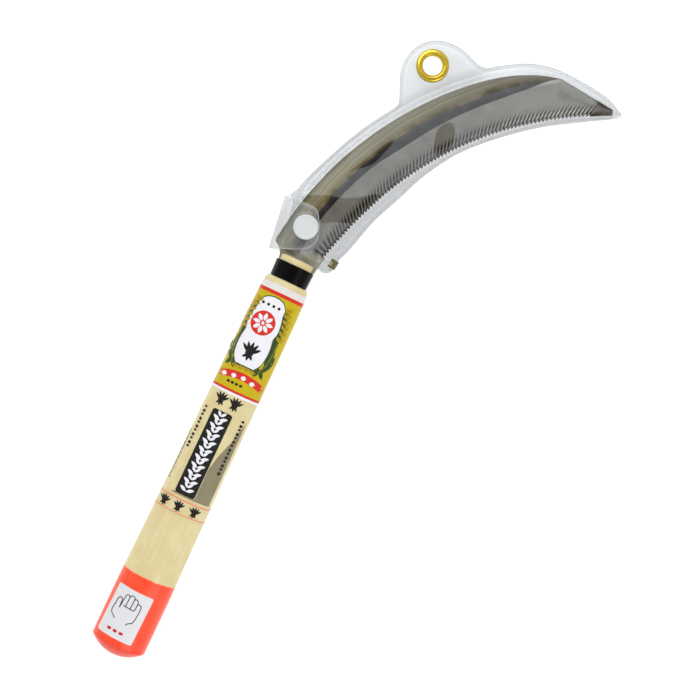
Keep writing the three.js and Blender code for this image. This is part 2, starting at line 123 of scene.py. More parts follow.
def make_camera():
    data = bpy.data.cameras.new("camera")
    data.lens = data.sensor_width * CAMERA_DISTANCE / VIEW_WIDTH
    data.clip_start, data.clip_end = 0.01, 10
    camera = bpy.data.objects.new("camera", data)
    bpy.context.scene.collection.objects.link(camera)
    upright = Matrix.Rotation(math.radians(HANDLE_LEAN_DEG), 4, "Z")
    spot = Matrix.Translation(in_row(*VIEW_CENTRE, CAMERA_DISTANCE))
    camera.matrix_world = spot @ ROW.to_3x3().normalized().to_4x4() @ upright
    bpy.context.scene.camera = camera


make_camera()

# ---- Small geometry tools ----


def arc_point(r, deg):
    """Points at radius r about the blade's centre, the angle growing from the neck to the tip."""
    a = np.radians(deg)
    return np.stack([ARC[0] - r * np.cos(a), ARC[1] + r * np.sin(a)], -1)


def polar(points):
    """The radius and angle of points in the sickle's plane."""
    d = np.asarray(points, float) - ARC
    return np.hypot(d[..., 0], d[..., 1]), np.degrees(np.arctan2(d[..., 1], -d[..., 0]))


def ease(low, high, value):
    t = np.clip((np.asarray(value, float) - low) / (high - low), 0, 1)
    return t * t * (3 - 2 * t)


def through(points, steps=8, closed=False):
    """A Catmull-Rom curve through given points."""
    p = np.asarray(points, float)
    before = p[-1:] if closed else p[:1]
    after = p[:2] if closed else p[-1:]
    q = np.vstack([before, p, after])
    spans = []
    for i in range(1, len(q) - 2):
        t = np.linspace(0, 1, steps, endpoint=False)[:, None]
        a, b, c, d = q[i - 1 : i + 3]
        square, cube = 2 * a - 5 * b + 4 * c - d, 3 * b - a - 3 * c + d
        spans.append(0.5 * (2 * b + (c - a) * t + square * t**2 + cube * t**3))
    if not closed:
        spans.append(p[-1:])
    return np.vstack(spans)


def inside(points, polygon):
    """Which points lie inside a polygon."""
    x, y = points[:, 0, None], points[:, 1, None]
    a, b = polygon, np.roll(polygon, -1, 0)
    span = (a[:, 1] > y) != (b[:, 1] > y)
    rise = np.where(b[:, 1] == a[:, 1], 1e-12, b[:, 1] - a[:, 1])
    cross = x < (b[:, 0] - a[:, 0]) * (y - a[:, 1]) / rise + a[:, 0]
    return (span & cross).sum(1) % 2 == 1


def edge_distance(points, polygon):
    """The distance from each point to a polygon's outline."""
    a, b = polygon, np.roll(polygon, -1, 0)
    ab = b - a
    length = (ab**2).sum(1) + 1e-12
    t = np.clip(((points[:, None] - a) * ab).sum(2) / length, 0, 1)
    near = a + t[..., None] * ab
    return np.sqrt(((points[:, None] - near) ** 2).sum(2)).min(1)


def evenly(polygon, step):
    """The same outline with its long stretches cut to about one step each."""
    result = []
    for a, b in zip(polygon, np.roll(polygon, -1, 0)):
        count = max(1, int(np.linalg.norm(b - a) / step))
        result.extend(a + (b - a) * i / count for i in range(count))
    return np.array(result)


def circle(x, y, radius, count=48):
    a = np.linspace(0, 2 * np.pi, count, endpoint=False)
    return np.stack([x + radius * np.cos(a), y + radius * np.sin(a)], -1)


def inset_rings(polygon, depths):
    """Rows of points that follow an outline at some depths inside it, for seams and rounded edges."""
    ahead, behind = np.roll(polygon, -1, 0), np.roll(polygon, 1, 0)
    along = ahead - behind
    along /= np.linalg.norm(along, axis=1)[:, None] + 1e-12
    area = (polygon[:, 0] * ahead[:, 1] - ahead[:, 0] * polygon[:, 1]).sum()
    inward = np.stack([-along[:, 1], along[:, 0]], -1) * np.sign(area)
    rings = []
    for depth in depths:
        ring = polygon + inward * depth
        keep = edge_distance(ring, polygon) > depth * 0.96
        rings.append(ring[keep & inside(ring, polygon)])
    return np.vstack(rings)


def hex_grid(polygon, spacing, margin):
    """An even scatter of points inside an outline."""
    low, high = polygon.min(0), polygon.max(0)
    rows = np.arange(low[1], high[1], spacing * 0.866)
    points = []
    for i, y in enumerate(rows):
        xs = np.arange(low[0] + spacing * 0.5 * (i % 2), high[0], spacing)
        points.append(np.stack([xs, np.full(len(xs), y)], -1))
    points = np.vstack(points)
    points = points[inside(points, polygon)]
    return points[edge_distance(points, polygon) > margin]


def triangulate(outline, extra=None, holes=()):
    """Triangles that fill an outline, using the extra points inside it."""
    loops = [np.asarray(outline, float), *[np.asarray(h, float) for h in holes]]
    points = [p for loop in loops for p in loop]
    edges, start = [], 0
    for loop in loops:
        edges += [(start + i, start + (i + 1) % len(loop)) for i in range(len(loop))]
        start += len(loop)
    if extra is not None:
        points += list(extra)
    flat = [Vector((float(p[0]), float(p[1]))) for p in points]
    verts, _, faces, *_ = delaunay_2d_cdt(flat, edges, [], 0, 1e-5, False)
    co = np.array([tuple(v) for v in verts])
    tris = np.array([f for f in faces if len(f) == 3])
    middle = co[tris].mean(1)
    keep = inside(middle, loops[0])
    for hole in loops[1:]:
        keep &= ~inside(middle, hole)
    return co, tris[keep]


def leaf_solid(co, tris, top, bottom):
    """A thin closed body: triangles of an outline at two heights, with walls between."""
    count = len(co)
    verts = np.vstack([np.column_stack([co, top]), np.column_stack([co, bottom])])
    sides = dict.fromkeys(e for a, b, c in tris for e in ((a, b), (b, c), (c, a)))
    rim = [e for e in sides if (e[1], e[0]) not in sides]
    faces = [tuple(t) for t in tris]
    faces += [(t[2] + count, t[1] + count, t[0] + count) for t in tris]
    faces += [(a, a + count, b + count, b) for a, b in rim]
    return verts, faces


def join(parts):
    """Several (verts, faces) as one."""
    verts, faces, start = [], [], 0
    for v, f in parts:
        verts.append(v)
        faces += [tuple(i + start for i in face) for face in f]
        start += len(v)
    return np.vstack(verts), faces


def rings_solid(rings, closed=False):
    """A body through rings of equal length, capped at both ends, or joined end to end."""
    count, total = len(rings[0]), len(rings)
    verts = np.vstack(rings)
    faces = []
    for i in range(total if closed else total - 1):
        a, b = i * count, (i + 1) % total * count
        for j in range(count):
            k = (j + 1) % count
            faces.append((a + j, a + k, b + k, b + j))
    if not closed:
        faces.append(tuple(range(count))[::-1])
        faces.append(tuple(range((total - 1) * count, total * count)))
    return verts, faces


def turned(profile, x, y, steps):
    """A body turned about the vertical through x, y from a closed profile of (radius, height)."""
    a = np.linspace(0, 2 * np.pi, steps, endpoint=False)
    rings = [
        np.stack([x + r * np.cos(a), y + r * np.sin(a), np.full(steps, z)], -1) for r, z in profile
    ]
    return rings_solid(rings, closed=True)


def oval_ring(half_width, y, steps):
    a = np.linspace(0, 2 * np.pi, steps, endpoint=False)
    return np.stack(
        [half_width * np.sin(a), np.full(steps, y), OVAL * half_width * np.cos(a)], -1
    )


def new_mesh(name, solid):
    """A mesh of (verts, faces), with its faces turned outwards."""
    verts, faces = solid
    mesh = bpy.data.meshes.new(name)
    mesh.from_pydata([tuple(v) for v in np.asarray(verts, float)], [], faces)
    turned_out = bmesh.new()
    turned_out.from_mesh(mesh)
    bmesh.ops.recalc_face_normals(turned_out, faces=turned_out.faces)
    turned_out.to_mesh(mesh)
    turned_out.free()
    return mesh


def show(name, mesh):
    shown = bpy.data.objects.new(name, mesh)
    bpy.context.scene.collection.objects.link(shown)
    return shown


def place(name, body, solid, look, replaces=(), sharp_deg=35.0, values=None):
    """Makes a solid a piece that rides on a body, with its plane coordinates kept for its materials."""
    mesh = new_mesh(name, solid)
    spot = mesh.attributes.new("plane_mm", "FLOAT_VECTOR", "POINT")
    spot.data.foreach_set("vector", np.asarray(solid[0], np.float32).ravel())
    for key, value in (values or {}).items():
        layer = mesh.attributes.new(key, "FLOAT", "POINT")
        layer.data.foreach_set("value", np.asarray(value, np.float32))
    mesh.transform(ROW)
    mesh.shade_smooth()
    mesh.set_sharp_from_angle(angle=math.radians(sharp_deg))
    mesh.materials.append(look)
    piece = show(name, mesh)
    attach(piece, body)
    if replaces:
        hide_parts(*replaces)
    return piece


def paint_nodes(look, *nodes):
    """Gives shown CAD nodes a material."""
    for node in nodes:
        materials = frame["nodes"][node].data.materials
        materials.clear()
        materials.append(look)


# ---- Material tools ----


def fill_ramp(ramp, stops):
    """Sets a ramp's stops, as (position, colour or grey level)."""
    while len(ramp.elements) < len(stops):
        ramp.elements.new(1.0)
    for element, (at, colour) in zip(ramp.elements, stops):
        element.position = at
        element.color = (*colour, 1.0) if isinstance(colour, tuple) else (colour, colour, colour, 1.0)


class Look:
    """A material under construction: one Principled shader and the nodes that feed it."""

    def __init__(self, name, **settings):
        self.material = bpy.data.materials.new(name)
        self.material.use_nodes = True
        self.tree = self.material.node_tree
        self.shader = self.tree.nodes["Principled BSDF"]
        self.output = self.tree.nodes["Material Output"]
        for key, value in settings.items():
            self.shader.inputs[key.replace("_", " ")].default_value = value

    def node(self, kind, settings=None, **inputs):
        """A new node. An input is given by its name, or as i and its number where names repeat."""
        made = self.tree.nodes.new(kind)
        for key, value in (settings or {}).items():
            setattr(made, key, value)
        for key, value in inputs.items():
            self.feed(made.inputs[int(key[1:]) if key[0] == "i" and key[1:].isdigit() else key], value)
        return made

    def feed(self, socket, value):
        if isinstance(value, bpy.types.NodeSocket):
            self.tree.links.new(value, socket)
        elif value is not None:
            socket.default_value = value

    def set(self, key, value):
        self.feed(self.shader.inputs[key], value)

    def attribute(self, name, output="Fac"):
        return self.node("ShaderNodeAttribute", {"attribute_name": name}).outputs[output]

    def plane(self, stretch=(1, 1, 1)):
        """Plane coordinates in mm, stretched."""
        spot = self.attribute("plane_mm", "Vector")
        return self.node("ShaderNodeVectorMath", {"operation": "MULTIPLY"}, i0=spot, i1=stretch).outputs[0]

    def axis(self, letter):
        """One plane coordinate in mm."""
        spot = self.attribute("plane_mm", "Vector")
        return self.node("ShaderNodeSeparateXYZ", Vector=spot).outputs[letter]

    def noise(self, scale, stretch=(1, 1, 1), detail=3.0, roughness=0.55):
        made = self.node("ShaderNodeTexNoise", Vector=self.plane(stretch), Scale=scale, Detail=detail)
        made.inputs["Roughness"].default_value = roughness
        return made.outputs["Fac"]

    def ramp(self, factor, stops):
        made = self.node("ShaderNodeValToRGB", Fac=factor)
        fill_ramp(made.color_ramp, stops)
        return made.outputs["Color"]

    def mix(self, factor, a, b, kind="MIX"):
        made = self.node("ShaderNodeMix", {"data_type": "RGBA", "blend_type": kind})
        for i, value in ((0, factor), (6, a), (7, b)):
            value = (*value, 1.0) if isinstance(value, tuple) and len(value) == 3 else value
            self.feed(made.inputs[i], value)
        return made.outputs[2]

    def math(self, operation, a, b=None, clamp=False):
        made = self.node("ShaderNodeMath", {"operation": operation, "use_clamp": clamp}, i0=a, i1=b)
        return made.outputs[0]

    def remap(self, value, low, high, to_low=0.0, to_high=1.0):
        made = self.node("ShaderNodeMapRange", Value=value)
        for key, number in zip(("From Min", "From Max", "To Min", "To Max"), (low, high, to_low, to_high)):
            made.inputs[key].default_value = number
        return made.outputs["Result"]

    def grazing(self, straight, steepness=5.0, normal=None):
        """Reflected share: straight on, rising to 1 at a grazing view, alike from both sides of a sheet."""
        facing = self.node("ShaderNodeLayerWeight", Blend=0.5, Normal=normal).outputs["Facing"]
        lift = self.math("POWER", facing, steepness)
        return self.math("ADD", self.math("MULTIPLY", lift, 1.0 - straight), straight)

    def bump(self, height, strength=0.3, distance=0.0001):
        made = self.node("ShaderNodeBump", Height=height, Strength=strength, Distance=distance)
        self.set("Normal", made.outputs["Normal"])
        return made.outputs["Normal"]


def grained(name, colour, roughness, metallic=0.0, spread=0.08, scale=0.6, **settings):
    """A plain-coloured finish with faint cloudy variation in its colour, gloss and surface."""
    look = Look(name, Metallic=metallic, **settings)
    cloud = look.noise(scale, detail=4.0)
    dark = tuple(c * (1 - spread) for c in colour)
    light = tuple(min(1.0, c * (1 + spread)) for c in colour)
    look.set("Base Color", look.ramp(cloud, [(0.3, dark), (0.7, light)]))
    look.set("Roughness", look.remap(cloud, 0.3, 0.7, roughness * 0.85, min(1.0, roughness * 1.15)))
    look.bump(look.noise(scale * 6, detail=2.0), 0.15, 0.00005)
    return look.material


def linear(red, green, blue):
    """An sRGB colour in 0 to 255 as the linear colour that shaders take."""
    return tuple(
        c / 12.92 if c <= 0.04045 else ((c + 0.055) / 1.055) ** 2.4
        for c in (red / 255, green / 255, blue / 255)
    )


# ---- Materials ----


def bare_wood(look, fine):
    broad = look.noise(1.0, (0.22, 0.008, 0.22), detail=2.0)
    specks = look.noise(1.0, (5.0, 0.35, 5.0), detail=2.0)
    tones = [(0.2, linear(208, 196, 152)), (0.5, linear(218, 207, 165)), (0.85, linear(226, 217, 180))]
    pale = look.ramp(fine, tones)
    streak = look.ramp(broad, [(0.35, linear(240, 234, 212)), (0.65, linear(255, 253, 246))])
    tinted = look.mix(0.45, pale, streak, "MULTIPLY")
    patches = [(0.35, linear(246, 240, 222)), (0.65, linear(255, 255, 252))]
    patchy = look.ramp(look.noise(0.14, detail=3.0), patches)
    tinted = look.mix(0.8, tinted, patchy, "MULTIPLY")
    dots = look.ramp(specks, [(0.2, 0.88), (0.34, 1.0)])
    return look.mix(0.7, tinted, dots, "MULTIPLY")


def red_paint(look, height):
    """Orange-red, worn along the crease round the butt, with painted shade that darkens the dome below it.
    """
    coat = look.noise(0.12, detail=3.0)
    paint = look.ramp(coat, [(0.3, linear(246, 66, 34)), (0.7, linear(252, 82, 46))])
    dents = look.noise(0.9, detail=4.0)
    from_crease = look.math("MULTIPLY", look.math("SUBTRACT", height, CREASE_Y), 0.6)
    crease = look.math("SUBTRACT", 1.0, look.math("ABSOLUTE", from_crease), clamp=True)
    worn = look.math("MULTIPLY", crease, look.remap(dents, 0.48, 0.62))
    paint = look.mix(look.math("MULTIPLY", worn, 0.55), paint, linear(176, 38, 22))
    # Painted shade: the dome at the butt's end is darkened towards the end.
    return look.mix(look.remap(height, 3.0, 7.0, 0.7, 0.0), paint, linear(212, 46, 26))


def wood_look():
    """Pale wood with its grain along Y, painted up to a slightly ragged border."""
    look = Look("wood", Specular_IOR_Level=0.35)
    fine = look.noise(1.0, (2.2, 0.03, 2.2), detail=6.0, roughness=0.7)
    height = look.axis("Y")
    ragged = look.noise(1.0, (1.3, 0.25, 1.3), detail=4.0)
    border = look.math("ADD", height, look.remap(ragged, 0.3, 0.7, -0.3, 0.3))
    painted = look.remap(border, PAINT_TO_Y - 0.25, PAINT_TO_Y + 0.25, 1.0, 0.0)
    look.set("Base Color", look.mix(painted, bare_wood(look, fine), red_paint(look, height)))
    gloss = look.remap(painted, 0.0, 1.0, 0.55, 0.3)
    look.set("Roughness", look.math("ADD", gloss, look.remap(fine, 0.2, 0.8, -0.05, 0.06)))
    grain = look.math("MULTIPLY", fine, look.remap(painted, 0.0, 1.0, 1.0, 0.35))
    look.bump(grain, 0.25, 0.00012)
    return look.material


def blade_oxide(look, band, cloud):
    """The colours across the band from its inner line to the spine, paler near the neck than at the tip."""
    tones = [
        (0.0, linear(50, 42, 28)),
        (0.08, linear(76, 64, 38)),
        (0.14, linear(98, 84, 50)),
        (0.22, linear(126, 112, 74)),
        (0.32, linear(155, 147, 114)),
        (0.45, linear(162, 157, 131)),
        (0.75, linear(151, 148, 124)),
        (0.88, linear(134, 132, 106)),
        (0.97, linear(92, 92, 74)),
    ]
    oxide = look.ramp(look.remap(band, -0.6, 9.4), tones)
    gold = look.mix(look.remap(cloud, 0.42, 0.62), oxide, linear(178, 168, 128))
    oxide = look.mix(look.remap(band, 1.0, 5.0, 0.5, 0.0), oxide, gold)
    x = look.axis("X")
    tone = look.math("MULTIPLY", look.remap(x, -5, 10, 1.3, 1.0), look.remap(x, 10, 48, 1.0, 0.68))
    oxide = look.mix(1.0, oxide, tone, "MULTIPLY")
    lines = look.node("ShaderNodeTexNoise", {"noise_dimensions": "1D"}, W=band, Scale=1.1, Detail=4.0)
    streaks = look.ramp(lines.outputs["Fac"], [(0.36, linear(188, 170, 138)), (0.6, linear(255, 255, 255))])
    return look.mix(0.55, oxide, streaks, "MULTIPLY")


def blade_bevel(look, cloud):
    """Brushed steel, paler towards the tip and dark on the tip's last facet."""
    x = look.axis("X")
    bevel = look.ramp(cloud, [(0.3, linear(144, 143, 136)), (0.7, linear(168, 167, 158))])
    bevel = look.mix(look.remap(x, 45, 75, 0.0, 0.5), bevel, linear(190, 188, 180))
    return look.mix(look.remap(x, 97, 100.5, 0.0, 0.85), bevel, linear(92, 86, 68))


def groove_shade(look):
    """Painted shade: 1 in the file marks and along the points of the teeth, where the steel is coloured
    near black.
    """
    fade = look.attribute("groove_fade")
    marks = look.remap(look.attribute("groove"), 0.28, 0.54)
    marks = look.math("MULTIPLY", marks, look.remap(fade, 0.0, 0.4, 0.0, 0.97))
    return look.math("MAXIMUM", marks, look.remap(fade, 0.84, 0.98, 0.0, 0.92))


def blade_look():
    """Ground steel: an oxide band by the spine, a hollow beside it coloured near black as a painted
    reflection, and a brushed bevel.

    "band" is how far in mm a point lies from the band's inner line towards the spine, and "hollow" how
    far from the hollow's lower line. "ground" is 1 on the blade and 0 on the tang. "groove" is 1 at the
    bottom of a file mark, and "groove_fade" falls from 1 at the points of the teeth to 0 at its end.
    """
    look = Look("blade_steel", Metallic=1.0)
    wander = look.remap(look.noise(0.1, detail=2.0), 0.3, 0.7, -0.3, 0.3)
    band = look.math("ADD", look.attribute("band"), wander)
    cloud = look.noise(0.11, detail=4.0)
    scratch = look.noise(1.0, (7.0, 0.5, 2.0), detail=5.0, roughness=0.75)
    # Painted reflection: the hollow's face is coloured near black, for the dark that its concave face
    # reflects.
    dark = look.ramp(cloud, [(0.3, linear(38, 37, 37)), (0.7, linear(66, 66, 70))])
    face = look.mix(look.remap(look.attribute("hollow"), -0.15, 0.15), blade_bevel(look, cloud), dark)
    face = look.mix(look.remap(band, -0.35, -0.1), face, blade_oxide(look, band, cloud))
    plain = look.ramp(cloud, [(0.3, linear(138, 134, 114)), (0.7, linear(160, 157, 138))])
    face = look.mix(look.attribute("ground"), plain, face)
    brushed = look.mix(0.4, face, look.ramp(scratch, [(0.3, 0.66), (0.7, 1.0)]), "MULTIPLY")
    # Painted shade: near black in the file marks and along the teeth.
    look.set("Base Color", look.mix(groove_shade(look), brushed, linear(10, 9, 8)))
    look.set("Roughness", look.remap(scratch, 0.2, 0.8, 0.3, 0.44))
    look.bump(scratch, 0.2, 0.00004)
    return look.material


def vinyl_look(name, haze, passed, milk, edge_highlight):
    """Clear soft vinyl: see-through, glossy, a little milky, and denser along its welds.

    haze is the share that the milky colour covers, and passed the colour that one face lets through.
    "weld" is 1 on the pressed band at the edge and on the seam, and adds the same where two sheets lie
    together past the blade. "edge" is 1 at the cut edge itself, where a painted line stands for the light
    that the edge bends: painted shade that darkens the see-through colour, and a painted highlight of milky
    cover by edge_highlight. "cling" is 1 where the sheet lies wet against the steel, so that it hides less
    there.
    """
    look = Look(name, IOR=1.5)
    weld, edge, cling = (look.attribute(key) for key in ("weld", "edge", "cling"))
    cloud = look.noise(0.09, detail=4.0)
    look.set("Base Color", look.ramp(cloud, [(0.3, tuple(c * 0.94 for c in milk)), (0.7, milk)]))
    look.set("Roughness", look.remap(look.noise(0.5, detail=3.0), 0.3, 0.7, 0.16, 0.3))
    normal = look.bump(look.noise(0.9, detail=3.0), 0.1, 0.0001)
    dry = look.remap(cling, 0.0, 1.0, 1.0, 0.1)
    cover = look.math("MULTIPLY", look.remap(cloud, 0.3, 0.75, haze * 0.85, haze * 1.15), dry)
    cover = look.math("ADD", cover, look.math("MULTIPLY", weld, 0.05))
    # Painted highlight: milky cover raised along the cut edge.
    cover = look.math("ADD", cover, look.math("MULTIPLY", edge, edge_highlight), clamp=True)
    welded, rim = (tuple(c * share for c in passed) for share in (0.88, 0.8))
    tint = look.mix(cling, passed, (0.865, 0.855, 0.845))
    tint = look.mix(look.math("MULTIPLY", weld, 0.5, clamp=True), tint, welded)
    # Painted shade: the see-through colour darkened along the cut edge.
    tint = look.mix(look.math("MULTIPLY", edge, 0.7), tint, rim)
    clear = look.node("ShaderNodeBsdfTransparent", Color=tint)
    sheet = look.node("ShaderNodeMixShader", i0=cover, i1=clear.outputs[0], i2=look.shader.outputs[0])
    gloss = look.node("ShaderNodeBsdfGlossy", Roughness=0.09, Normal=normal)
    shine = look.math("MULTIPLY", look.grazing(0.022, 5.0, normal), dry)
    both = look.node("ShaderNodeMixShader", i0=shine, i1=sheet.outputs[0], i2=gloss.outputs[0])
    look.feed(look.output.inputs["Surface"], both.outputs[0])
    return look.material


def film_look(name, colour, alpha, roughness=0.12):
    look = Look(name, IOR=1.5, Specular_IOR_Level=0.15)
    cloud = look.noise(0.2, (1, 0.3, 1), detail=3.0)
    look.set("Base Color", look.ramp(cloud, [(0.3, tuple(c * 0.95 for c in colour)), (0.7, colour)]))
    rim = look.grazing(0.0, 4.0)
    look.set("Alpha", look.math("ADD", alpha, look.math("MULTIPLY", rim, 0.2), clamp=True))
    look.set("Roughness", look.remap(cloud, 0.3, 0.7, roughness * 0.8, roughness * 1.3))
    look.bump(look.noise(0.35, detail=2.0), 0.08, 0.0001)
    return look.material


def ink_look(name, red, green, blue, spread=0.06):
    """Printing under the film: a flat colour that the press laid down slightly unevenly."""
    colour = linear(red, green, blue)
    return grained(name, colour, 0.4, spread=spread, scale=0.9, Specular_IOR_Level=0.06)


WOOD = wood_look()
STEEL = blade_look()
CLEAR = vinyl_look("clear_vinyl", 0.045, (0.936, 0.944, 0.952), (0.86, 0.865, 0.86), 0.12)
# The strap's cut edge carries a stronger painted highlight.
CLEAR_STRAP = vinyl_look("clear_strap", 0.03, (0.965, 0.97, 0.972), (0.88, 0.9, 0.9), 0.3)
FILM = film_look("clear_film", linear(236, 232, 222), 0.008)
WHITE_FILM = film_look("white_film", linear(240, 237, 235), 0.75)
SHADE_FILM = film_look("grey_film", linear(112, 108, 92), 0.26)
ENAMEL = grained(
    "black_enamel", (0.001, 0.001, 0.0012), 0.17, spread=0.3, scale=0.35, Specular_IOR_Level=0.1
)
PAPER = grained("sticker_paper", linear(215, 215, 218), 0.5, spread=0.02, scale=1.2)
BRASS = grained("brass", linear(206, 178, 62), 0.24, metallic=1.0, spread=0.12, scale=0.5)
CLIP_METAL = grained("clip_metal", linear(128, 121, 86), 0.3, metallic=1.0, spread=0.25, scale=1.1)
PIN_STEEL = grained("pin_steel", linear(130, 130, 132), 0.4, metallic=1.0)
SNAP_WHITE = grained("snap_white", linear(202, 205, 205), 0.34, spread=0.03, scale=0.8)
INK_BLACK = ink_look("ink_black", 20, 19, 18)
INK_RED = ink_look("ink_red", 206, 42, 28)
INK_CRIMSON = ink_look("ink_crimson", 198, 38, 66)
INK_ROSE = ink_look("ink_rose", 232, 130, 112)
INK_YELLOW = ink_look("ink_yellow", 192, 170, 6)
INK_GOLD = ink_look("ink_gold", 168, 140, 22)
INK_GREEN = ink_look("ink_green", 44, 70, 28, spread=0.25)
INK_OLIVE = ink_look("ink_olive", 104, 112, 28, spread=0.25)
INK_WHITE = ink_look("ink_white", 228, 228, 234, spread=0.02)

# ---- Handle and ferrule ----

SIDE_Y = np.array([6, 34, 100, 188, 197.4, 198.8])
SIDE_HALF = np.array([13.8, 13.8, 12.7, 11.7, 11.35, 11.3])


def handle_half(y):
    return np.interp(y, SIDE_Y, SIDE_HALF)


def handle_profile():
    """Half widths and heights from the butt's middle to the wood's end."""
    rim, depth = SIDE_HALF[0], SIDE_Y[0]
    radius = (rim**2 + depth**2) / (2 * depth)
    dome = [
        (radius * math.sin(a), radius * (1 - math.cos(a)))
        for a in np.linspace(0.03, 0.985 * math.asin(rim / radius), 16)
    ]
    corner = through([dome[-1], (13.72, 6.0), (13.8, 6.5), (13.8, 8.6)], 4)
    side = [(handle_half(y), y) for y in np.linspace(12, 196, 47)]
    top = [
        (11.28, 198.2), (11.0, 199.4), (10.5, 200.1), (9.9, SEAT_Y), (8.6, SEAT_Y), (8.45, 200.6),
        (8.45, 206), (8.5, 211.6), (8.35, 212.1), (7.9, HANDLE_LENGTH),
    ]
    return [*dome, *map(tuple, corner[1:]), *side, *top]


def tang_outline(grow):
    end = SEAT_Y + FERRULE_LENGTH - TANG_LENGTH
    half = [(7.4 + grow, HANDLE_LENGTH + 1), (3.6 + grow, end), (0, end - 3.6 - grow)]
    return np.array([(-x, y) for x, y in half] + half[-2::-1])


def cut(solid, *tools):
    """A solid with others cut out of it, by Blender's exact boolean."""
    shapes = [show("cut", new_mesh("cut", part)) for part in (solid, *tools)]
    base = shapes[0]
    for other in shapes[1:]:
        step = base.modifiers.new("cut", "BOOLEAN")
        step.operation, step.solver, step.object = "DIFFERENCE", "EXACT", other
    bpy.context.view_layer.update()
    result = base.evaluated_get(bpy.context.evaluated_depsgraph_get()).to_mesh()
    verts = np.array([v.co for v in result.vertices])
    faces = [tuple(p.vertices) for p in result.polygons]
    for mesh in [shape.data for shape in shapes]:
        bpy.data.meshes.remove(mesh)
    return verts, faces


def slab(outline, low, high):
    """A flat outline made solid between two heights."""
    co, tris = triangulate(outline)
    return leaf_solid(co, tris, np.full(len(co), high), np.full(len(co), low))


def make_handle():
    wood = rings_solid([oval_ring(half, y, 96) for half, y in handle_profile()])
    slot = BLADE_HALF + 0.25
    tang = slab(tang_outline(0.3), -slot, slot)
    above = HANDLE_LENGTH + 1.6
    across = np.array([(-12, KERF_FROM_Y), (12, KERF_FROM_Y), (12, above), (-12, above)])
    kerf = slab(across, -slot - 0.002, slot + 0.002)
    pin = slab(circle(0, PIN_Y, 1.8, 24), -20, 20)
    return place("wooden_handle", "sickle", cut(wood, tang, kerf, pin), WOOD, ["handle"], 40)


def make_ferrule():
    low, high = SEAT_Y + 0.2, SEAT_Y + FERRULE_LENGTH - 0.4
    profile = [
        (8.85, low + 0.2), (9.1, low), (9.45, low), (9.6, low + 0.15), (9.66, low + 1.2),
        (9.74, low + 3.4), (9.84, low + 6.2), (9.93, high - 0.6), (9.95, high - 0.35),
        (9.86, high - 0.1), (9.6, high), (9.25, high), (9.15, high - 0.25),
    ]
    rings = [oval_ring(half, y, 96) for half, y in profile]
    return place("ferrule_collar", "sickle", rings_solid(rings, True), ENAMEL, ["ferrule"])


# ---- Printing on the handle ----

INK_BASE = 0.1  # from the wood to the lowest layer of ink
INK_STEP = 0.03  # from one layer to the next
INK_GAP = 0.004  # between one layer's top and the next one's underside


def skin_z(x, y, out):
    """Height of the handle's upper side, grown outwards."""
    half = handle_half(y) + out
    return OVAL * np.sqrt(np.maximum(half**2 - x**2, 0.0))


def decal_solid(outline, layer, spacing=1.1, base=INK_BASE):
    """An inked shape that follows the handle's upper side."""
    edge = evenly(np.asarray(outline, float), 0.6)
    co, tris = triangulate(edge, hex_grid(edge, spacing, 0.35))
    out = base + layer * INK_STEP
    top = skin_z(co[:, 0], co[:, 1], out + INK_STEP)
    bottom = skin_z(co[:, 0], co[:, 1], out + INK_GAP)
    return leaf_solid(co, tris, top, bottom)


def decals(name, outlines, layer, look, base=INK_BASE):
    parts = [decal_solid(outline, layer, base=base) for outline in outlines]
    return place(name, "sickle", join(parts), look, (), 50)


def sleeve(y0, y1, low, high, count, steps=128):
    """A thin tube round the handle, between two heights over the wood."""
    heights = np.linspace(y0, y1, max(2, count))
    outer = [oval_ring(handle_half(y) + high, y, steps) for y in heights]
    inner = [oval_ring(handle_half(y) + low, y, steps) for y in heights[::-1]]
    return rings_solid([*outer, *inner], closed=True)


def bands(name, spans, layer, look):
    """Inked bands all round the handle."""
    out = INK_BASE + layer * INK_STEP
    parts = [
        sleeve(y0, y1, out + INK_GAP, out + INK_STEP, int((y1 - y0) / 8) + 1) for y0, y1 in spans
    ]
    return place(name, "sickle", join(parts), look, (), 50)


def stroke(points, width):
    """The outline of a drawn line of even width, with square ends."""
    p = np.asarray(points, float)
    along = np.gradient(p, axis=0)
    along /= np.linalg.norm(along, axis=1)[:, None]
    side = np.stack([-along[:, 1], along[:, 0]], -1) * width / 2
    return np.vstack([p + side, (p - side)[::-1]])


def turn(deg):
    """The matrix that turns rows of (x, y) anticlockwise."""
    a = math.radians(deg)
    return np.array([[math.cos(a), math.sin(a)], [-math.sin(a), math.cos(a)]])


def leaf(x, y, length, width, turn_deg, count=12):
    """A pointed leaf from x, y outwards along a direction."""
    t = np.linspace(0, 1, count)
    half = width / 2 * np.sin(np.pi * t) ** 0.8
    side = np.vstack([np.stack([t * length, half], -1), np.stack([t * length, -half], -1)[-2:0:-1]])
    return side @ turn(turn_deg) + (x, y)


def rounded(x0, y0, x1, y1, corner, steps=6):
    quarter = np.linspace(0, np.pi / 2, steps)
    points = []
    for k, (x, y) in enumerate(((x1, y1), (x0, y1), (x0, y0), (x1, y0))):
        cx = x - corner if x == x1 else x + corner
        cy = y - corner if y == y1 else y + corner
        a = quarter + k * np.pi / 2
        points.append(np.stack([cx + corner * np.cos(a), cy + corner * np.sin(a)], -1))
    return np.vstack(points)


PLAQUE_MIDDLE = -1.4


def plaque_outline():
    """A gourd-shaped plaque, from its foot up the right side and down the left."""
    right = [
        (4.9, 154.9), (7.1, 158.4), (7.9, 163.5), (7.8, 168), (7.2, 171.8), (8.0, 175.5), (7.6, 180),
        (6.8, 184), (6.4, 187.4), (4.2, 190), (0, 191),
    ]
    left = [(-x, y) for x, y in right[-2::-1]]
    return through([(x + PLAQUE_MIDDLE, y) for x, y in right + left], 6)


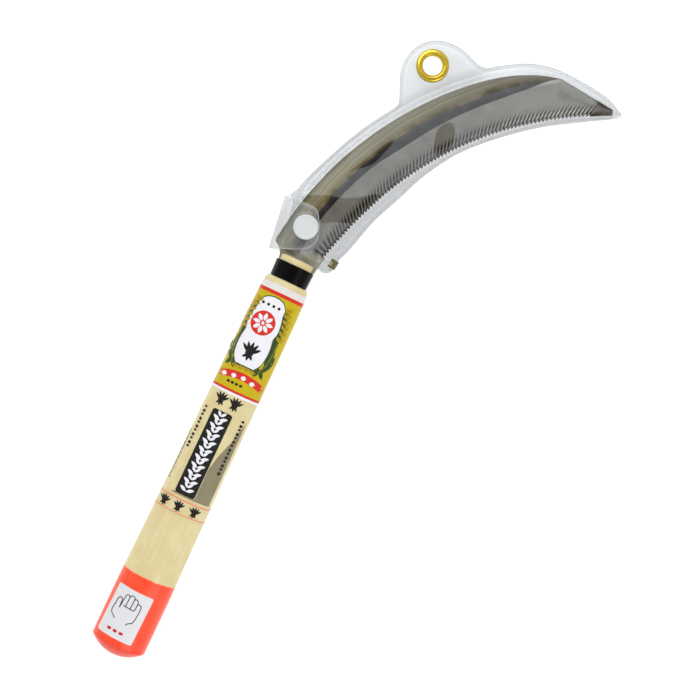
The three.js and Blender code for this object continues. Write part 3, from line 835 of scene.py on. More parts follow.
def grain_ears():
    """Rice ears that curve up both sides of the plaque: stalks, paired grains and long leaves."""
    stalks, grains, blades = [], [], []
    for side in (-1, 1):
        middle = PLAQUE_MIDDLE + 0.9 * (side > 0)
        spine = through([(6.4, 154.2), (8.7, 160), (9.2, 170), (8.9, 180), (7.2, 188.4)], 10)
        spine = spine * (side, 1) + (middle, 0)
        stalks.append(stroke(spine, 0.7))
        for i in range(len(spine) // 2 + 2, len(spine) - 2, 3):
            heading = math.degrees(math.atan2(*(spine[i + 1] - spine[i])[::-1]))
            grains += [leaf(*spine[i], 2.9, 1.5, heading + lean) for lean in (-36, 34)]
        for y, length, lean in ((155, 10, 16), (158, 12, 4), (164, 13, -1), (171, 12, -3), (178, 9, -10)):
            blades.append(leaf(side * 8.0 + middle, y, length, 3.2, 90 - side * lean, 16))
        for lean in (20, -15, -42):
            blades.append(leaf(side * 6.8 + middle, 156.4, 5.0, 2.0, -90 + side * lean * 1.5))
    return stalks, grains, blades


def sheaf(x, y, size):
    """A small tied sheaf: fanned strokes over a foot, in place of lettering."""
    parts = [leaf(x, y, size, size * 0.27, 90 + lean) for lean in (-52, -26, 0, 26, 52)]
    parts += [leaf(x, y, size * 0.6, size * 0.24, -90 + lean) for lean in (-44, 0, 44)]
    half, tall = size * 0.34, size * 0.09
    parts.append(rounded(x - half, y - tall, x + half, y + tall, size * 0.08, 3))
    return parts


def blossom(x, y, radius, petals=8):
    """A plain round flower, in place of a mark."""
    parts = []
    for k in range(petals):
        a = 360 * k / petals
        dx, dy = math.cos(math.radians(a)), math.sin(math.radians(a))
        parts.append(leaf(x + dx * radius * 0.24, y + dy * radius * 0.24, radius * 0.72, radius * 0.36, a))
    parts.append(circle(x, y, radius * 0.15, 12))
    return parts


def ticks(x, y_top, y_bottom, width, pitch):
    """A column of short bars, in place of a line of small print."""
    count = int((y_top - y_bottom) / pitch)
    tops = [y_top - i * pitch for i in range(count)]
    return [
        rounded(x - width / 2, top - pitch * (0.5 + 0.2 * (i % 2)), x + width / 2, top, width * 0.2, 3)
        for i, top in enumerate(tops)
    ]


LABEL_TOP_Y = 194.1


def make_label_bands():
    bands("label_yellow", [(146.9, 192.3), (142, 146.9)], 0, INK_YELLOW)
    bands("label_red_lines", [(192.3, LABEL_TOP_Y), (140.8, 142)], 1, INK_RED)
    bands("label_thin_lines", [(83.3, 83.8), (76.6, 77.0)], 1, INK_ROSE)
    bands("label_white_line", [(139.5, 140.8)], 0, INK_WHITE)


def arched(y, rise, reach, count=25):
    """A line that arches over the label's middle, from side to side."""
    x = np.linspace(-reach, reach, count)
    return np.stack([x, y - rise * (x / reach) ** 2], -1)


def make_label_front():
    plaque = plaque_outline()
    decals("label_plaque_line", [evenly(plaque + (plaque - plaque.mean(0)) * 0.035, 1)], 1, INK_GREEN)
    decals("label_plaque", [plaque], 3, INK_WHITE)
    stalks, grains, blades = grain_ears()
    decals("label_leaves", blades, 2, INK_GREEN)
    decals("label_stalks", stalks, 4, INK_OLIVE)
    decals("label_grains", grains, 5, INK_GOLD)
    decals("label_disc", [circle(-2, 177.4, 6.1, 40)], 4, INK_RED)
    decals("label_blossom", blossom(-2, 177.4, 5.4), 5, INK_WHITE)
    decals("label_sheaf", sheaf(-1.8, 161.2, 6.2), 4, INK_BLACK)
    decals("label_dots", [circle(-6.2 + 2.8 * i, 186.8, 0.75, 12) for i in range(4)], 4, INK_BLACK)
    banner = np.vstack([arched(151.4, 2.4, 11.4), arched(147.8, 2.4, 11.4)[::-1]])
    decals("label_banner", [banner], 1, INK_RED)
    lozenges = [leaf(-9.0 + 4.9 * i - 1.3, 149.3 - 0.9 * abs(i - 1.75), 2.8, 2.2, 0) for i in range(4)]
    decals("label_lozenges", lozenges, 2, INK_WHITE)
    dashes = [rounded(-6.1 + 2.2 * i, 144.6, -4.6 + 2.2 * i, 145.8, 0.2, 3) for i in range(4)]
    decals("label_dashes", dashes, 2, INK_BLACK)
    decals("label_scrolls", [leaf(-7.6 + 3.1 * i, 153.4, 3.4, 1.9, 0) for i in range(4)], 2, INK_GOLD)


def make_label_lower():
    motifs = [part for x in (-4.6, 2.7) for part in sheaf(x, 135.0, 4.5)]
    decals("label_motifs", motifs, 0, INK_BLACK)
    decals("label_panel", [rounded(-6.2, 86, 4.1, 130.5, 1.2)], 1, INK_BLACK)
    sprigs = []
    for i in range(10):
        y = 89.6 + 4.2 * i
        sprigs += [leaf(-1.1, y - 1.5, 4.1, 1.6, a) for a in (26, 154)]
        sprigs += [leaf(-1.1, y + 0.4, 3.3, 1.35, a) for a in (50, 130)]
    decals("label_sprigs", sprigs, 2, INK_WHITE)
    shade = [(11.3, 130), (8.6, 118), (6, 110), (4.4, 103), (4.4, 86.2), (-6, 86.2), (-8.2, 85.2)]
    decals("label_shade", [[*shade, (11.9, 85.2)]], 0, SHADE_FILM)
    columns = [(-10.0, 129.8, 105, 1.3, 2.1), (9.6, 130.2, 99, 1.3, 2.1), (-12.0, 116, 90, 0.5, 1.3)]
    small = [tick for column in columns for tick in ticks(*column)]
    decals("label_ticks", small, 2, INK_BLACK)
    marks = [part for x in (-9.0, -1.3, 7.0) for part in sheaf(x, 79.4, 3.7)]
    decals("label_marks", marks, 1, INK_BLACK)


def make_label():
    make_label_bands()
    make_label_front()
    make_label_lower()
    white = sleeve(LABEL_TOP_Y, FILM_TO_Y, 0.2, 0.24, 2)
    place("label_white_edge", "sickle", white, WHITE_FILM, ())
    clear = sleeve(FILM_FROM_Y, FILM_TO_Y, 0.275, 0.3, 20)
    place("label_clear_film", "sickle", clear, FILM, ["label_film"])


# ---- Sticker with a left hand's outline ----

STICKER = {"x": -2.3, "y": 21.9, "width": 18.6, "height": 25, "corner": 1.0, "turn_deg": -1.5}
STICKER_BASE = 0.12
PEN_WIDTH = 0.42


def on_sticker(points):
    """Points about the sticker's middle, laid where the sticker is."""
    return np.asarray(points, float) @ turn(STICKER["turn_deg"]) + (STICKER["x"], STICKER["y"])


def hand_strokes():
    """The back of a left hand with folded fingers, drawn about the sticker's middle."""
    thumb = [
        (-4.0, -4.0), (-4.6, -3.2), (-6.6, -1.8), (-7.0, 0.2), (-6.7, 3), (-6.5, 5.6), (-5.4, 6.6),
        (-4.4, 5.8), (-4.1, 1.8),
    ]
    first = [(-4.0, 2.2), (-3.7, 6.5), (-3.2, 9.1), (-1.7, 8.9), (-1.5, 7.0), (-1.6, 3.6)]
    second = [(-1.5, 7.6), (-1.2, 9.4), (0.0, 9.9), (1.0, 9.2), (1.1, 7.0), (1.0, 3.5)]
    third = [(1.1, 8.4), (1.8, 9.0), (2.9, 8.6), (3.4, 7.4), (3.4, 5.4), (3.2, 3.5)]
    fourth = [
        (3.5, 7.2), (4.6, 7.3), (5.6, 6.2), (5.7, 3.0), (5.5, 0), (4.9, -2.2), (3.0, -3.4), (2.6, -4.6),
    ]
    knuckles = [(-2.7, 3.7), (-0.3, 3.55), (1.6, 3.5), (3.3, 3.5)]
    return [through(line, 5) for line in (thumb, first, second, third, fourth, knuckles)]


def make_sticker():
    w, h = STICKER["width"] / 2, STICKER["height"] / 2
    sheet = on_sticker(rounded(-w, -h, w, h, STICKER["corner"]))
    paper = decals("paper_sticker", [sheet], 0, PAPER, STICKER_BASE)
    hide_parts("hand_sticker")
    for i, line in enumerate(hand_strokes()):
        outline = on_sticker(stroke(line, PEN_WIDTH))
        # The lines cross, so each one lies a little higher than the last.
        part = decal_solid(outline, 1, spacing=3.0, base=STICKER_BASE + i * INK_GAP)
        place(f"hand_line_{i}", "sickle", part, INK_BLACK, (), 50)
    dashes = [on_sticker(rounded(x, -9.8, x + 2.2, -8.4, 0.6)) for x in (-5.2, -2.0, 1.2)]
    decals("sticker_dashes", dashes, 1, INK_CRIMSON, STICKER_BASE)


# ---- Blade ----

# Lines along the blade, as (degrees, mm): the edge from EDGE_R, the others from the curve's centre.
EDGE_LINE = np.array(
    [(0, 2.6), (8, 2.1), (13, 0.9), (20, 0), (NARROW_DEG, -0.1), (45, 0.5), (56, 1.7), (67.6, 3.9)]
    + [(TIP_DEG + 5, 6.6)]
)
BAND_LINE = np.array([(0, 162.6), (14, 163.6), (45, 165.6), (PEAK_DEG, 168), (TIP_DEG + 5, 168)])
HOLLOW_LINE = np.array(
    [(0, 158.6), (12, 160.6), (26, 160.4), (31.6, 159.5), (35, 159.7), (43, 161), (51, 162.6)]
    + [(55.5, 164.5), (60.7, 168)]
)


def edge_r(deg):
    """Radius of the toothed edge, at the points of the teeth."""
    return EDGE_R + np.interp(deg, EDGE_LINE[:, 0], EDGE_LINE[:, 1])


def back_line_r(deg):
    """Radius of the straight back edge between the peak and the tip."""
    peak = arc_point(SPINE_R - PEAK_DROP, PEAK_DEG) - ARC
    run = arc_point(TIP_SPINE_R, TIP_DEG) - ARC - peak
    ray = arc_point(1.0, deg) - ARC
    return (peak[0] * run[1] - peak[1] * run[0]) / (ray[..., 0] * run[1] - ray[..., 1] * run[0])


def spine_r(deg):
    """Radius of the spine: an arc, a bend inwards to the peak, and the straight back."""
    deg = np.asarray(deg, float)
    bend = np.clip((deg - BEND_DEG) / (PEAK_DEG - BEND_DEG), 0, 1)
    return np.where(deg > PEAK_DEG, back_line_r(deg), SPINE_R - PEAK_DROP * bend**3)


def band_r(deg):
    """Radius of the oxide band's inner line, where the ground face ends."""
    line = np.interp(deg, BAND_LINE[:, 0], BAND_LINE[:, 1])
    return np.minimum(line, spine_r(deg) - 0.35)


GROOVE_LENGTH = 6.6
GROOVE_SLANT = 0.65
GROOVE_DEPTH = 0.34
STEEP = 0.2  # share of a pitch taken by a tooth's steep flank
PHASES = (0.0, 0.1, 0.2, 0.32, 0.46, 0.62, 0.78, 0.9)  # where in a pitch the lines across it start
RHO_STEPS = (0, 0.5, 1.1, 1.8, 2.6, 3.5, 4.4, 5.2, 6.0, GROOVE_LENGTH)
INNER_SHARES = (0.12, 0.25, 0.4, 0.55, 0.7, 0.82, 0.91)  # from the file marks to the band
BAND_SHARES = (0.12, 0.35, 0.6, 0.85)
BACK_SHARES = (0.85, 0.5, 0.2, 0.012, 0)  # from the edge to the spine


def tooth_fall(phase):
    """How far back the tooth's outline stands: 1 in the valley, 0 at the point."""
    return 1 - phase / STEEP if phase < STEEP else (phase - STEEP) / (1 - STEEP)


def bevel_z(rho, width):
    """Height of the ground face, from the edge to the band's line."""
    t = np.clip(rho / width, 0, 1)
    thickness = EDGE_THICKNESS + (1.22 - EDGE_THICKNESS) * t**1.15
    rise = 0.58 * ease(0.86, 1.0, t) ** 1.6
    return -BLADE_HALF + thickness + rise


def blade_station(deg, phase, skew):
    """One line of points across the blade: front face from the edge to the spine, then the back.

    The lines start at the toothed edge and lean towards the tip, as the file marks do.
    """
    r_edge = edge_r(deg)
    width = band_r(deg) - r_edge
    reach = min(GROOVE_LENGTH, width * 0.8)
    fall = tooth_fall(phase) if phase is not None else 0.0
    notch = TOOTH_DEPTH * fall
    marks = [notch + s / GROOVE_LENGTH * (reach - notch) for s in RHO_STEPS]
    rho = np.array([*marks, *[reach + s * (width - reach) for s in INNER_SHARES], width - 0.02])
    lean = np.degrees(GROOVE_SLANT * (np.minimum(rho, reach) - notch) / r_edge) * skew
    at = deg + lean[-1]
    widen = np.clip((rho - reach) / max(width - reach, 0.1), 0, 1) * (band_r(at) - band_r(deg))
    front = arc_point(r_edge + rho + widen, deg + lean)
    fade = np.clip(1.1 - rho / reach, 0, 1)
    z = bevel_z(rho, width) - GROOVE_DEPTH * fall * np.clip(1 - (rho - notch) / reach, 0, 1) ** 0.8
    r_band, r_spine = band_r(at), spine_r(at)
    shares = np.array([0.03, *BAND_SHARES])
    band = arc_point(r_band + shares * (r_spine - r_band - 0.25), np.full(len(shares), at))
    rim = arc_point(np.array([r_spine - 0.2, r_spine, r_spine, r_spine - 0.2]), np.full(4, at))
    spine = arc_point(r_spine, at)
    back = front[0] + (spine - front[0]) * np.array(BACK_SHARES)[:, None]
    top = BLADE_HALF
    heights = [z, [top - 0.01] + [top] * len(BAND_SHARES), [top, top - 0.22, 0.2 - top, -top]]
    heights.append([-top, -top, -top, -top, 0.05 - top])
    points = np.column_stack([np.vstack([front, band, rim, back]), np.concatenate(heights)])
    rest = np.zeros(len(points) - len(rho))
    groove = np.full(len(rho), fall)
    return points, {"groove": np.append(groove, rest), "groove_fade": np.append(fade, rest)}


def neck_station(left, right, ground):
    """A line of points across the neck or the tang, flat on both faces, spaced as in the blade."""
    model, _ = blade_station(SHOULDER_DEG + 1.0, None, 0.0)
    start, end = model[0][:2], arc_point(spine_r(SHOULDER_DEG + 1.0), SHOULDER_DEG + 1.0)
    axis = end - start
    share = ((model[:, :2] - start) @ axis) / (axis @ axis)
    left, right = np.array(left, float), np.array(right, float)
    xy = right + np.clip(share, 0, 1)[:, None] * (left - right)
    front = np.arange(len(model)) < len(model) - 4 - len(BACK_SHARES)
    z = np.where(front, ground * model[:, 2] + (1 - ground) * BLADE_HALF, model[:, 2])
    z[0] -= 0.15 * (1 - ground)
    z[-1], z[-2] = -BLADE_HALF + 0.1, -BLADE_HALF
    plain = np.zeros(len(model))
    return np.column_stack([xy, z]), {"groove": plain, "groove_fade": plain}


# The neck and the tang, from the tang's point up: (left x, left y, right x, right y, ground share).
NECK = [
    (-0.3, 136.2, 0.3, 136.2, 0), (-3.6, 139.6, 3.6, 139.6, 0), (-7.1, 205, 7.1, 205, 0),
    (-7.25, 209.1, 7.25, 209.1, 0), (-9.2, 209.5, 9.8, 209.5, 0), (-9.35, 211.4, 10.05, 211, 0),
    (-10.3, 213.4, 10.4, 213, 0), (-11.9, 214.9, 10.7, 215, 0.1), (-13.3, 215.7, 11.0, 216.6, 0.3),
    (-14.1, 216.6, 11.3, 217.8, 0.6), (-14.3, 217.9, 11.6, 218.8, 0.85),
]


def blade_lines():
    """All the lines across the blade, from the tang's point to the tip."""
    lines = [neck_station(n[:2], n[2:4], n[4]) for n in NECK]
    lines.append(blade_station(SHOULDER_DEG + 1.3, None, 0.0))
    pitch = math.degrees(TOOTH_PITCH / EDGE_R)
    teeth = int((TEETH_TO_DEG - TEETH_FROM_DEG) / pitch)
    for tooth in range(teeth):
        for phase in PHASES:
            deg = TEETH_FROM_DEG + (tooth + phase) * pitch
            skew = float(ease(TEETH_FROM_DEG - 0.5, TEETH_FROM_DEG + 3, deg))
            lines.append(blade_station(deg, phase, skew))
    plain = TEETH_FROM_DEG + teeth * pitch
    for deg in np.linspace(plain + 0.1, TIP_DEG, 9):
        lines.append(blade_station(deg, None, float(1 - ease(plain, TIP_DEG - 0.6, deg))))
    return lines


def make_blade():
    lines = blade_lines()
    solid = rings_solid([points for points, _ in lines])
    values = {key: np.concatenate([marks[key] for _, marks in lines]) for key in ("groove", "groove_fade")}
    r, deg = polar(solid[0][:, :2])
    values["band"] = r - band_r(deg)
    values["hollow"] = r - np.interp(deg, HOLLOW_LINE[:, 0], HOLLOW_LINE[:, 1])
    ground = np.concatenate([np.full(len(lines[0][0]), n[4]) for n in NECK])
    values["ground"] = np.concatenate([ground, np.ones(len(solid[0]) - len(ground))])
    return place("saw_blade", "sickle", solid, STEEL, ["blade"], 18, values)


# ---- Sheath ----


def on_arc(pairs):
    return [tuple(arc_point(r, deg)) for r, deg in pairs]


TAB_LINE = [
    (44.6, 337.3), (40.2, 336.2), (35, 337.7), (30.3, 339.5), (24.3, 340.2), (18, 339.4), (12.6, 336.8),
    (8.6, 332.5), (6.2, 327), (5.6, 321), (6.4, 316), (8.3, 311.3), (10.8, 305.7), (11.8, 302.4),
]


def welded_edge():
    """The sheath's outline from the mouth, round the tip and the hanging tab, to the strap's end."""
    corner = through([(10, MOUTH_Y), (13.2, 212.1), (15.7, 212.8), (17.1, 214.4), (17.4, 216.2)], 4)
    edge = through(
        [(17.4, 216.2)]
        + on_arc([(141.5, 8.9), (140.3, 12), (140.3, 19), (140.3, 26), (142.3, 33), (144, 41), (144.4, 50)])
        + on_arc([(145.4, 58), (147.3, 67)]),
        8,
    )
    tip = through(
        on_arc([(147.3, 67), (149, 71), (150.9, 72.6), (153.6, 72), (160.6, 69), (170.4, 62.8)])
        + on_arc([(174.6, 59.7), (177.4, 56.2), (178.5, 52)])
        + TAB_LINE,
        5,
    )
    spine = through([(11.8, 302.4)] + on_arc([(178.3, 34.4), (178.3, 28), (178.3, 21), (178.9, 16)]), 5)
    notch = through([tuple(arc_point(178.9, 16)), (-15.5, 242.8), (-17.2, 240.2)], 4)
    return np.vstack([corner[:-1], edge[:-1], tip[:-1], spine[:-1], notch])


def front_outline():
    cut_back = through(
        [(-17.2, 240.2), (-14.4, 237.2), (-13.2, 231), (-12.2, 224.6), (-10.4, 218.6), (-8.7, 213.4)], 5
    )
    return np.vstack([welded_edge(), cut_back[1:], [(0, MOUTH_Y - 0.1)]])


def back_outline():
    return np.vstack([welded_edge(), [FOLD_HIGH], [FOLD_LOW], [(-9.2, MOUTH_Y)]])


def ripple(points, scale, seed):
    """Smooth waves in -1 to 1 over the plane, the same on every run."""
    return np.array([noise.noise(Vector((x * scale, y * scale, seed))) for x, y in points])


def raised(points, open_spine):
    """0 at the weld and 1 where the sheet stands over the blade's band."""
    r, deg = polar(points)
    low = edge_r(np.maximum(deg, NARROW_DEG)) - 1.1
    spine = spine_r(np.clip(deg, 0, TIP_DEG))
    band = np.interp(deg, BAND_LINE[:, 0], BAND_LINE[:, 1]) - 2
    band = np.minimum(band, (low + spine) / 2)
    climb = np.clip((r - low) / (band - low), 0, 1)
    climb = climb * (1.35 - 0.35 * climb)
    drop = 1 - ease(0.2, 3.2, r - spine)
    if open_spine:
        drop = np.maximum(drop, 1 - ease(12.5, 16.5, deg))
    tip = 1 - ease(TIP_DEG - 2.2, TIP_DEG + 0.9, deg)
    return np.clip(climb, 0, 1) * drop * tip


def edge_run(deg_from, deg_to):
    """Points along the toothed edge, to close a contact patch there."""
    degs = np.linspace(deg_from, deg_to, 7)
    return [tuple(p) for p in arc_point(edge_r(degs) + 0.3, degs)]


# Where the upper sheet clings wet to the steel, as outlines.
CLING = [
    [
        (-11.4, 241.6), (-6, 244.6), (0, 247.2), (6, 248.8), (11, 251.2), (16, 254.4), (20.6, 257.6),
        *edge_run(23.6, 16.4), (10.5, 237.6), (6.5, 235.8), (3, 233.6), (1, 235), (-4, 239.4),
        (-10.5, 239.6),
    ],
    [
        (4.4, 262.4), (6.8, 267.2), (9.8, 272.8), (13.2, 279), (17, 285.4), (17.2, 281.6), (15.6, 277.4),
        (13.8, 271.8), (11, 268), (7.6, 265.2),
    ],
    [
        (36.6, 290.4), (34.8, 296), (35, 300.4), (36.8, 303.4), (39, 304.6), (41.6, 303.6), (43.4, 299.8),
        (43.8, 295.4), *edge_run(38.9, 36.2),
    ],
    [
        (80, 342.8), (81.4, 338.4), (84.6, 337.4), (87.4, 339.8), (92.4, 340.2), (97.6, 340.8),
        (96.4, 342.4), (89, 341.4), (84.6, 342.2),
    ],
    [(-5.4, 254.8), (-2.8, 260.4), (-0.6, 265), (1.2, 269.6), (0.6, 271.4), (-2.4, 265.8), (-5.2, 259)],
    [(0.8, 213.6), (2.4, 216.4), (4.6, 219), (5, 222), (6.6, 221.2), (8, 217.4), (9.6, 213.8)],
    [(-8.4, 213.6), (-6.2, 215.6), (-3.4, 215), (-2.2, 213.6)],
    [(99, 344.6), (101, 345.8), (105, 345.2), (107.6, 344.2), (105, 343), (100.6, 343.2)],
    [(47, 326), (51, 330.4), (56, 334), (60.6, 337), (60.4, 335), (55.4, 330.6), (50.6, 326.2)],
]
CLING_STRENGTH = (1, 1, 1, 0.45, 0.45, 0.8, 1, 0.9, 0.5)
CLING_SOFT = 0.14


def cling_outlines():
    return [through(patch, 6, closed=True) for patch in CLING]


def clinging(points):
    """1 inside the patches, falling to 0 just past their outlines."""
    total = np.zeros(len(points))
    for patch, strength in zip(cling_outlines(), CLING_STRENGTH):
        inner = inside(points, patch)
        away = edge_distance(points, patch) * np.where(inner, 1, -1)
        total = np.maximum(total, strength * ease(-CLING_SOFT, CLING_SOFT, away))
    return total


def cling_points():
    """Points on both sides of every patch's outline, so that its border stays sharp."""
    rings = []
    for patch in cling_outlines():
        patch = evenly(patch, 0.6)
        away = patch - patch.mean(0)
        along = np.roll(patch, -1, 0) - np.roll(patch, 1, 0)
        side = np.stack([along[:, 1], -along[:, 0]], -1)
        side /= np.linalg.norm(side, axis=1)[:, None] + 1e-9
        side *= np.sign((side * away).sum(1).sum() + 1e-9)
        rings += [patch + side * CLING_SOFT, patch - side * CLING_SOFT]
    return np.vstack(rings)


SEAM_DEPTH = 1.45


def weld_mask(depth):
    """1 on the pressed outer band and on the seam just inside it, from the distance to the cut edge."""
    band = 1 - ease(1.0, 1.25, depth)
    seam = np.exp(-(((depth - SEAM_DEPTH) / 0.22) ** 2))
    return 0.5 * band + 1.1 * seam


def cut_edge(depth):
    return 1 - ease(0.12, 0.4, depth)


def sheet_points(outline, holes, side):
    """Points inside a sheet: rows along its seams, an even scatter, and rows along the drawn borders."""
    seams = inset_rings(outline, (0.2, 0.5, 0.9, 1.2, 1.45, 1.7, 2.1))
    points = [seams, hex_grid(outline, 1.15, 2.5)]
    if side > 0:
        degs = np.linspace(TEETH_FROM_DEG - 2, TIP_DEG, 200)
        along = [arc_point(edge_r(degs) + step, degs) for step in (-0.6, 0.0, 0.45, 1.4, 2.6)]
        borders = np.vstack([cling_points(), *along])
        points.append(borders[inside(borders, outline) & (edge_distance(borders, outline) > 2.2)])
    points = np.vstack([*points, *[hole + (hole - hole.mean(0)) * 0.08 for hole in holes]])
    for hole in holes:
        points = points[~inside(points, hole) & (edge_distance(points, hole) > 0.15)]
    return points


def over_snap(points, inner):
    """The upper sheet lifted over the snap's base."""
    boss = 1 - ease(6.4, 8.2, np.hypot(points[:, 0] - SNAP["x"], points[:, 1] - SNAP["y"]))
    return np.maximum(inner, SHEET_GAP + 1.7 * boss)


def towards_fold(points, inner):
    """The lower sheet's flap rising to meet the strap at the fold."""
    r, deg = polar(points)
    flap = ease(SPINE_R - 1, SPINE_R + 1.5, r) * (1 - ease(13, 17, deg))
    line = (FOLD_HIGH - FOLD_LOW) / np.linalg.norm(FOLD_HIGH - FOLD_LOW)
    off = points - FOLD_LOW
    to_fold = off[:, 0] * line[1] - off[:, 1] * line[0]
    return inner * (1 - flap) + flap * (0.05 + 0.95 * ease(0.0, 3.5, to_fold))


def sheet_heights(points, depth, sealed, side):
    """Heights of a sheet's outer and inner faces, wavy where it is loose and pressed thin at its seam."""
    lift = raised(points, side > 0)
    wave = 0.55 * ripple(points, 0.05, 3 + side) + 0.28 * ripple(points, 0.16, 7 + side)
    inner = SHEET_GAP + (1.06 if side > 0 else 0.92) * lift + 0.16 * lift * (1 + 2.2 * wave)
    inner = over_snap(points, inner) if side > 0 else towards_fold(points, inner)
    press = 0.07 * np.exp(-(((depth - SEAM_DEPTH) / 0.25) ** 2)) * sealed
    thickness = VINYL - 0.12 * (1 - ease(0.0, 0.3, depth))
    slack = 0.1 * ripple(points, 0.07, 21) * (1 - lift)
    return side * (inner + thickness - press) + slack, side * inner + slack


def sheet_values(points, depth, sealed, side):
    """The values that the vinyl's material reads, at each point of one face."""
    r, deg = polar(points)
    beyond = r - edge_r(deg)
    past_spine = r - spine_r(np.clip(deg, 0, TIP_DEG))
    cling = np.zeros(len(points))
    if side > 0:
        teeth = ease(0.0, 0.4, beyond) * (1 - ease(1.4, 2.6, beyond)) * (deg > TEETH_FROM_DEG - 1)
        cling = np.maximum(clinging(points), 0.95 * teeth)
    weld = weld_mask(depth) * sealed
    weld += 1.2 * (1 - ease(-0.6, 0.4, beyond)) * (deg < TIP_DEG)
    weld += 1.05 * ease(0, 0.5, past_spine) * (1 - ease(3, 9, past_spine)) * (1 - ease(47, 53, deg))
    return {"weld": weld, "edge": cut_edge(depth), "cling": cling}


def make_sheet(name, outline, side, node):
    """One vinyl sheet of the pouch. side is 1 for the upper and -1 for the lower."""
    outline = evenly(outline, 0.8)
    holes = [circle(EYELET["x"], EYELET["y"], TAB_HOLE_R, 40)]
    if side > 0:
        holes.append(circle(SNAP["x"], SNAP["y"], 1.1, 20))
    co, tris = triangulate(outline, sheet_points(outline, holes, side), holes)
    r, deg = polar(co)
    depth = edge_distance(co, outline)
    sealed = ((deg > 16.5) | (r < EDGE_R + 4)) & (co[:, 1] > MOUTH_Y + 0.6)
    outer, inner = sheet_heights(co, depth, sealed, side)
    top, bottom = (outer, inner) if side > 0 else (inner, outer)
    values = {key: np.tile(v, 2) for key, v in sheet_values(co, depth, sealed, side).items()}
    solid = leaf_solid(co, tris, top, bottom)
    return place(name, "sheath", solid, CLEAR, [node], 60, values)


BARREL_R = 5.3


def make_eyelet():
    """A pressed flange with its barrel rolled over a flat washer."""
    x, y, bore, flange = EYELET["x"], EYELET["y"], EYELET["bore"], EYELET["flange"]
    crest = through(
        [(bore, 0.9), (bore + 0.22, 1.35), (bore + 0.75, 1.75), (flange - 2.2, 1.97), (flange - 1.3, 1.98)]
        + [(flange - 0.55, 1.8), (flange - 0.1, 1.45), (flange, 1.12)],
        4,
    )
    under = [(flange - 0.12, 0.97), (flange - 0.8, 0.98), (BARREL_R + 0.3, 0.97), (BARREL_R, 0.7)]
    rolled = [
        (BARREL_R, -1.42), (5.6, -1.6), (6.35, -1.58), (6.5, -1.72), (6.2, -1.92), (5.6, -2.0),
        (5.15, -1.9), (bore + 0.05, -1.6), (bore, -1.2),
    ]
    profile = [*map(tuple, crest), *under, *rolled]
    place("eyelet_flange", "sheath", turned(profile, x, y, 96), BRASS, ["eyelet"], 50)
    washer = [(5.62, -1.25), (5.7, -1.3), (7.4, -1.3), (7.9, -1.22), (8.05, -1.05), (7.95, -0.92)]
    washer += [(7.6, -0.9), (5.62, -0.95)]
    place("washer_ring", "sheath", turned(washer, x, y, 96), BRASS, ["eyelet_washer"], 50)


CLIP = {"deg": 7.5, "length": 4.4, "legs": 3.95, "metal": 0.4, "outer_r": 140.8}
CLIP_LEG_Z = WELD_GAP + VINYL + 0.25


def clip_fold():
    """The clip's cross-section, as (distance in from its fold, height): its inner side, then its outer."""
    legs, metal, leg = CLIP["legs"], CLIP["metal"], CLIP_LEG_Z
    inner = [(legs, leg), (metal + 0.5, leg), (metal + 0.12, leg - 0.14), (metal, leg - 0.4)]
    half = [(0, 0), (0.04, leg - 0.1), (0.3, leg + 0.25), (0.75, leg + metal), (legs - 0.1, leg + metal)]
    half.append((legs + 0.05, leg + metal * 0.5))
    below = [(u, -z) for u, z in half[:0:-1]]
    return [*inner, *[(u, -z) for u, z in inner[::-1]], *below, *half]


def make_clip():
    """A folded strip over both sheets, with a rounded fold and dished legs."""
    a = math.radians(CLIP["deg"])
    inward = np.array([-math.cos(a), math.sin(a)])
    along = np.array([math.sin(a), math.cos(a)])
    start = arc_point(CLIP["outer_r"], CLIP["deg"])
    rings = []
    for s in np.linspace(-0.5, 0.5, 13):
        t = abs(s) * 2
        dish = 0.12 * (1 - ease(0.35, 0.75, t)) - 0.06 * ease(0.88, 1.0, t)
        ring = []
        for u, z in clip_fold():
            dished = abs(z) > CLIP_LEG_Z - 0.02 and 1.2 < u < CLIP["legs"] - 0.05
            spot = start + inward * u + along * s * CLIP["length"]
            ring.append((*spot, z - np.sign(z) * dish if dished else z))
        rings.append(np.array(ring))
    return place("folded_clip", "sheath", rings_solid(rings), CLIP_METAL, ["mouth_clip"], 30)


def make_snap():
    x, y, cap = SNAP["x"], SNAP["y"], SNAP["cap"]
    under = STRAP_Z + 0.3
    dome = through(
        [(cap - 0.25, under), (cap, under + 0.35), (cap - 0.1, under + 0.9), (cap - 0.5, under + 1.2)]
        + [(cap - 0.95, under + 1.22), (cap - 1.4, under + 1.02), (3, under + 0.98), (0.05, under + 1.0)],
        5,
    )
    profile = [*map(tuple, dome), (0.05, 4.45), (0.6, 4.45), (0.7, 4.55), (0.7, under - 0.05), (0.9, under)]
    place("snap_button", "strap", turned(profile, x, y, 72), SNAP_WHITE, ["snap_cap"], 35)
    paint_nodes(SNAP_WHITE, "snap_post", "snap_stud", "snap_socket")


# ---- Closure strap ----


def strap_outline():
    """The tongue, with u along it from the fold and v along the fold from its middle."""
    half = np.linalg.norm(FOLD_HIGH - FOLD_LOW) / 2
    low = [(0, -half), (6, 1.1 - half), (12.5, 2.6 - half), (18, 4.7 - half), (20.4, 7.2 - half)]
    high = [(21, 3.2), (19.6, 6.4), (18.7, 9), (17.2, 11), (14.8, 12), (8, half - 0.5), (0, half)]
    end = (TONGUE_END, -2.4)
    low, high = through([*low, end], 6), through([end, *high], 6)
    return np.vstack([low, high[1:]])


STRAP_MIDDLE = (FOLD_LOW + FOLD_HIGH) / 2
STRAP_UP = (FOLD_HIGH - FOLD_LOW) / np.linalg.norm(FOLD_HIGH - FOLD_LOW)
STRAP_OUT = np.array([STRAP_UP[1], -STRAP_UP[0]])
STRAP_HALF = 0.18


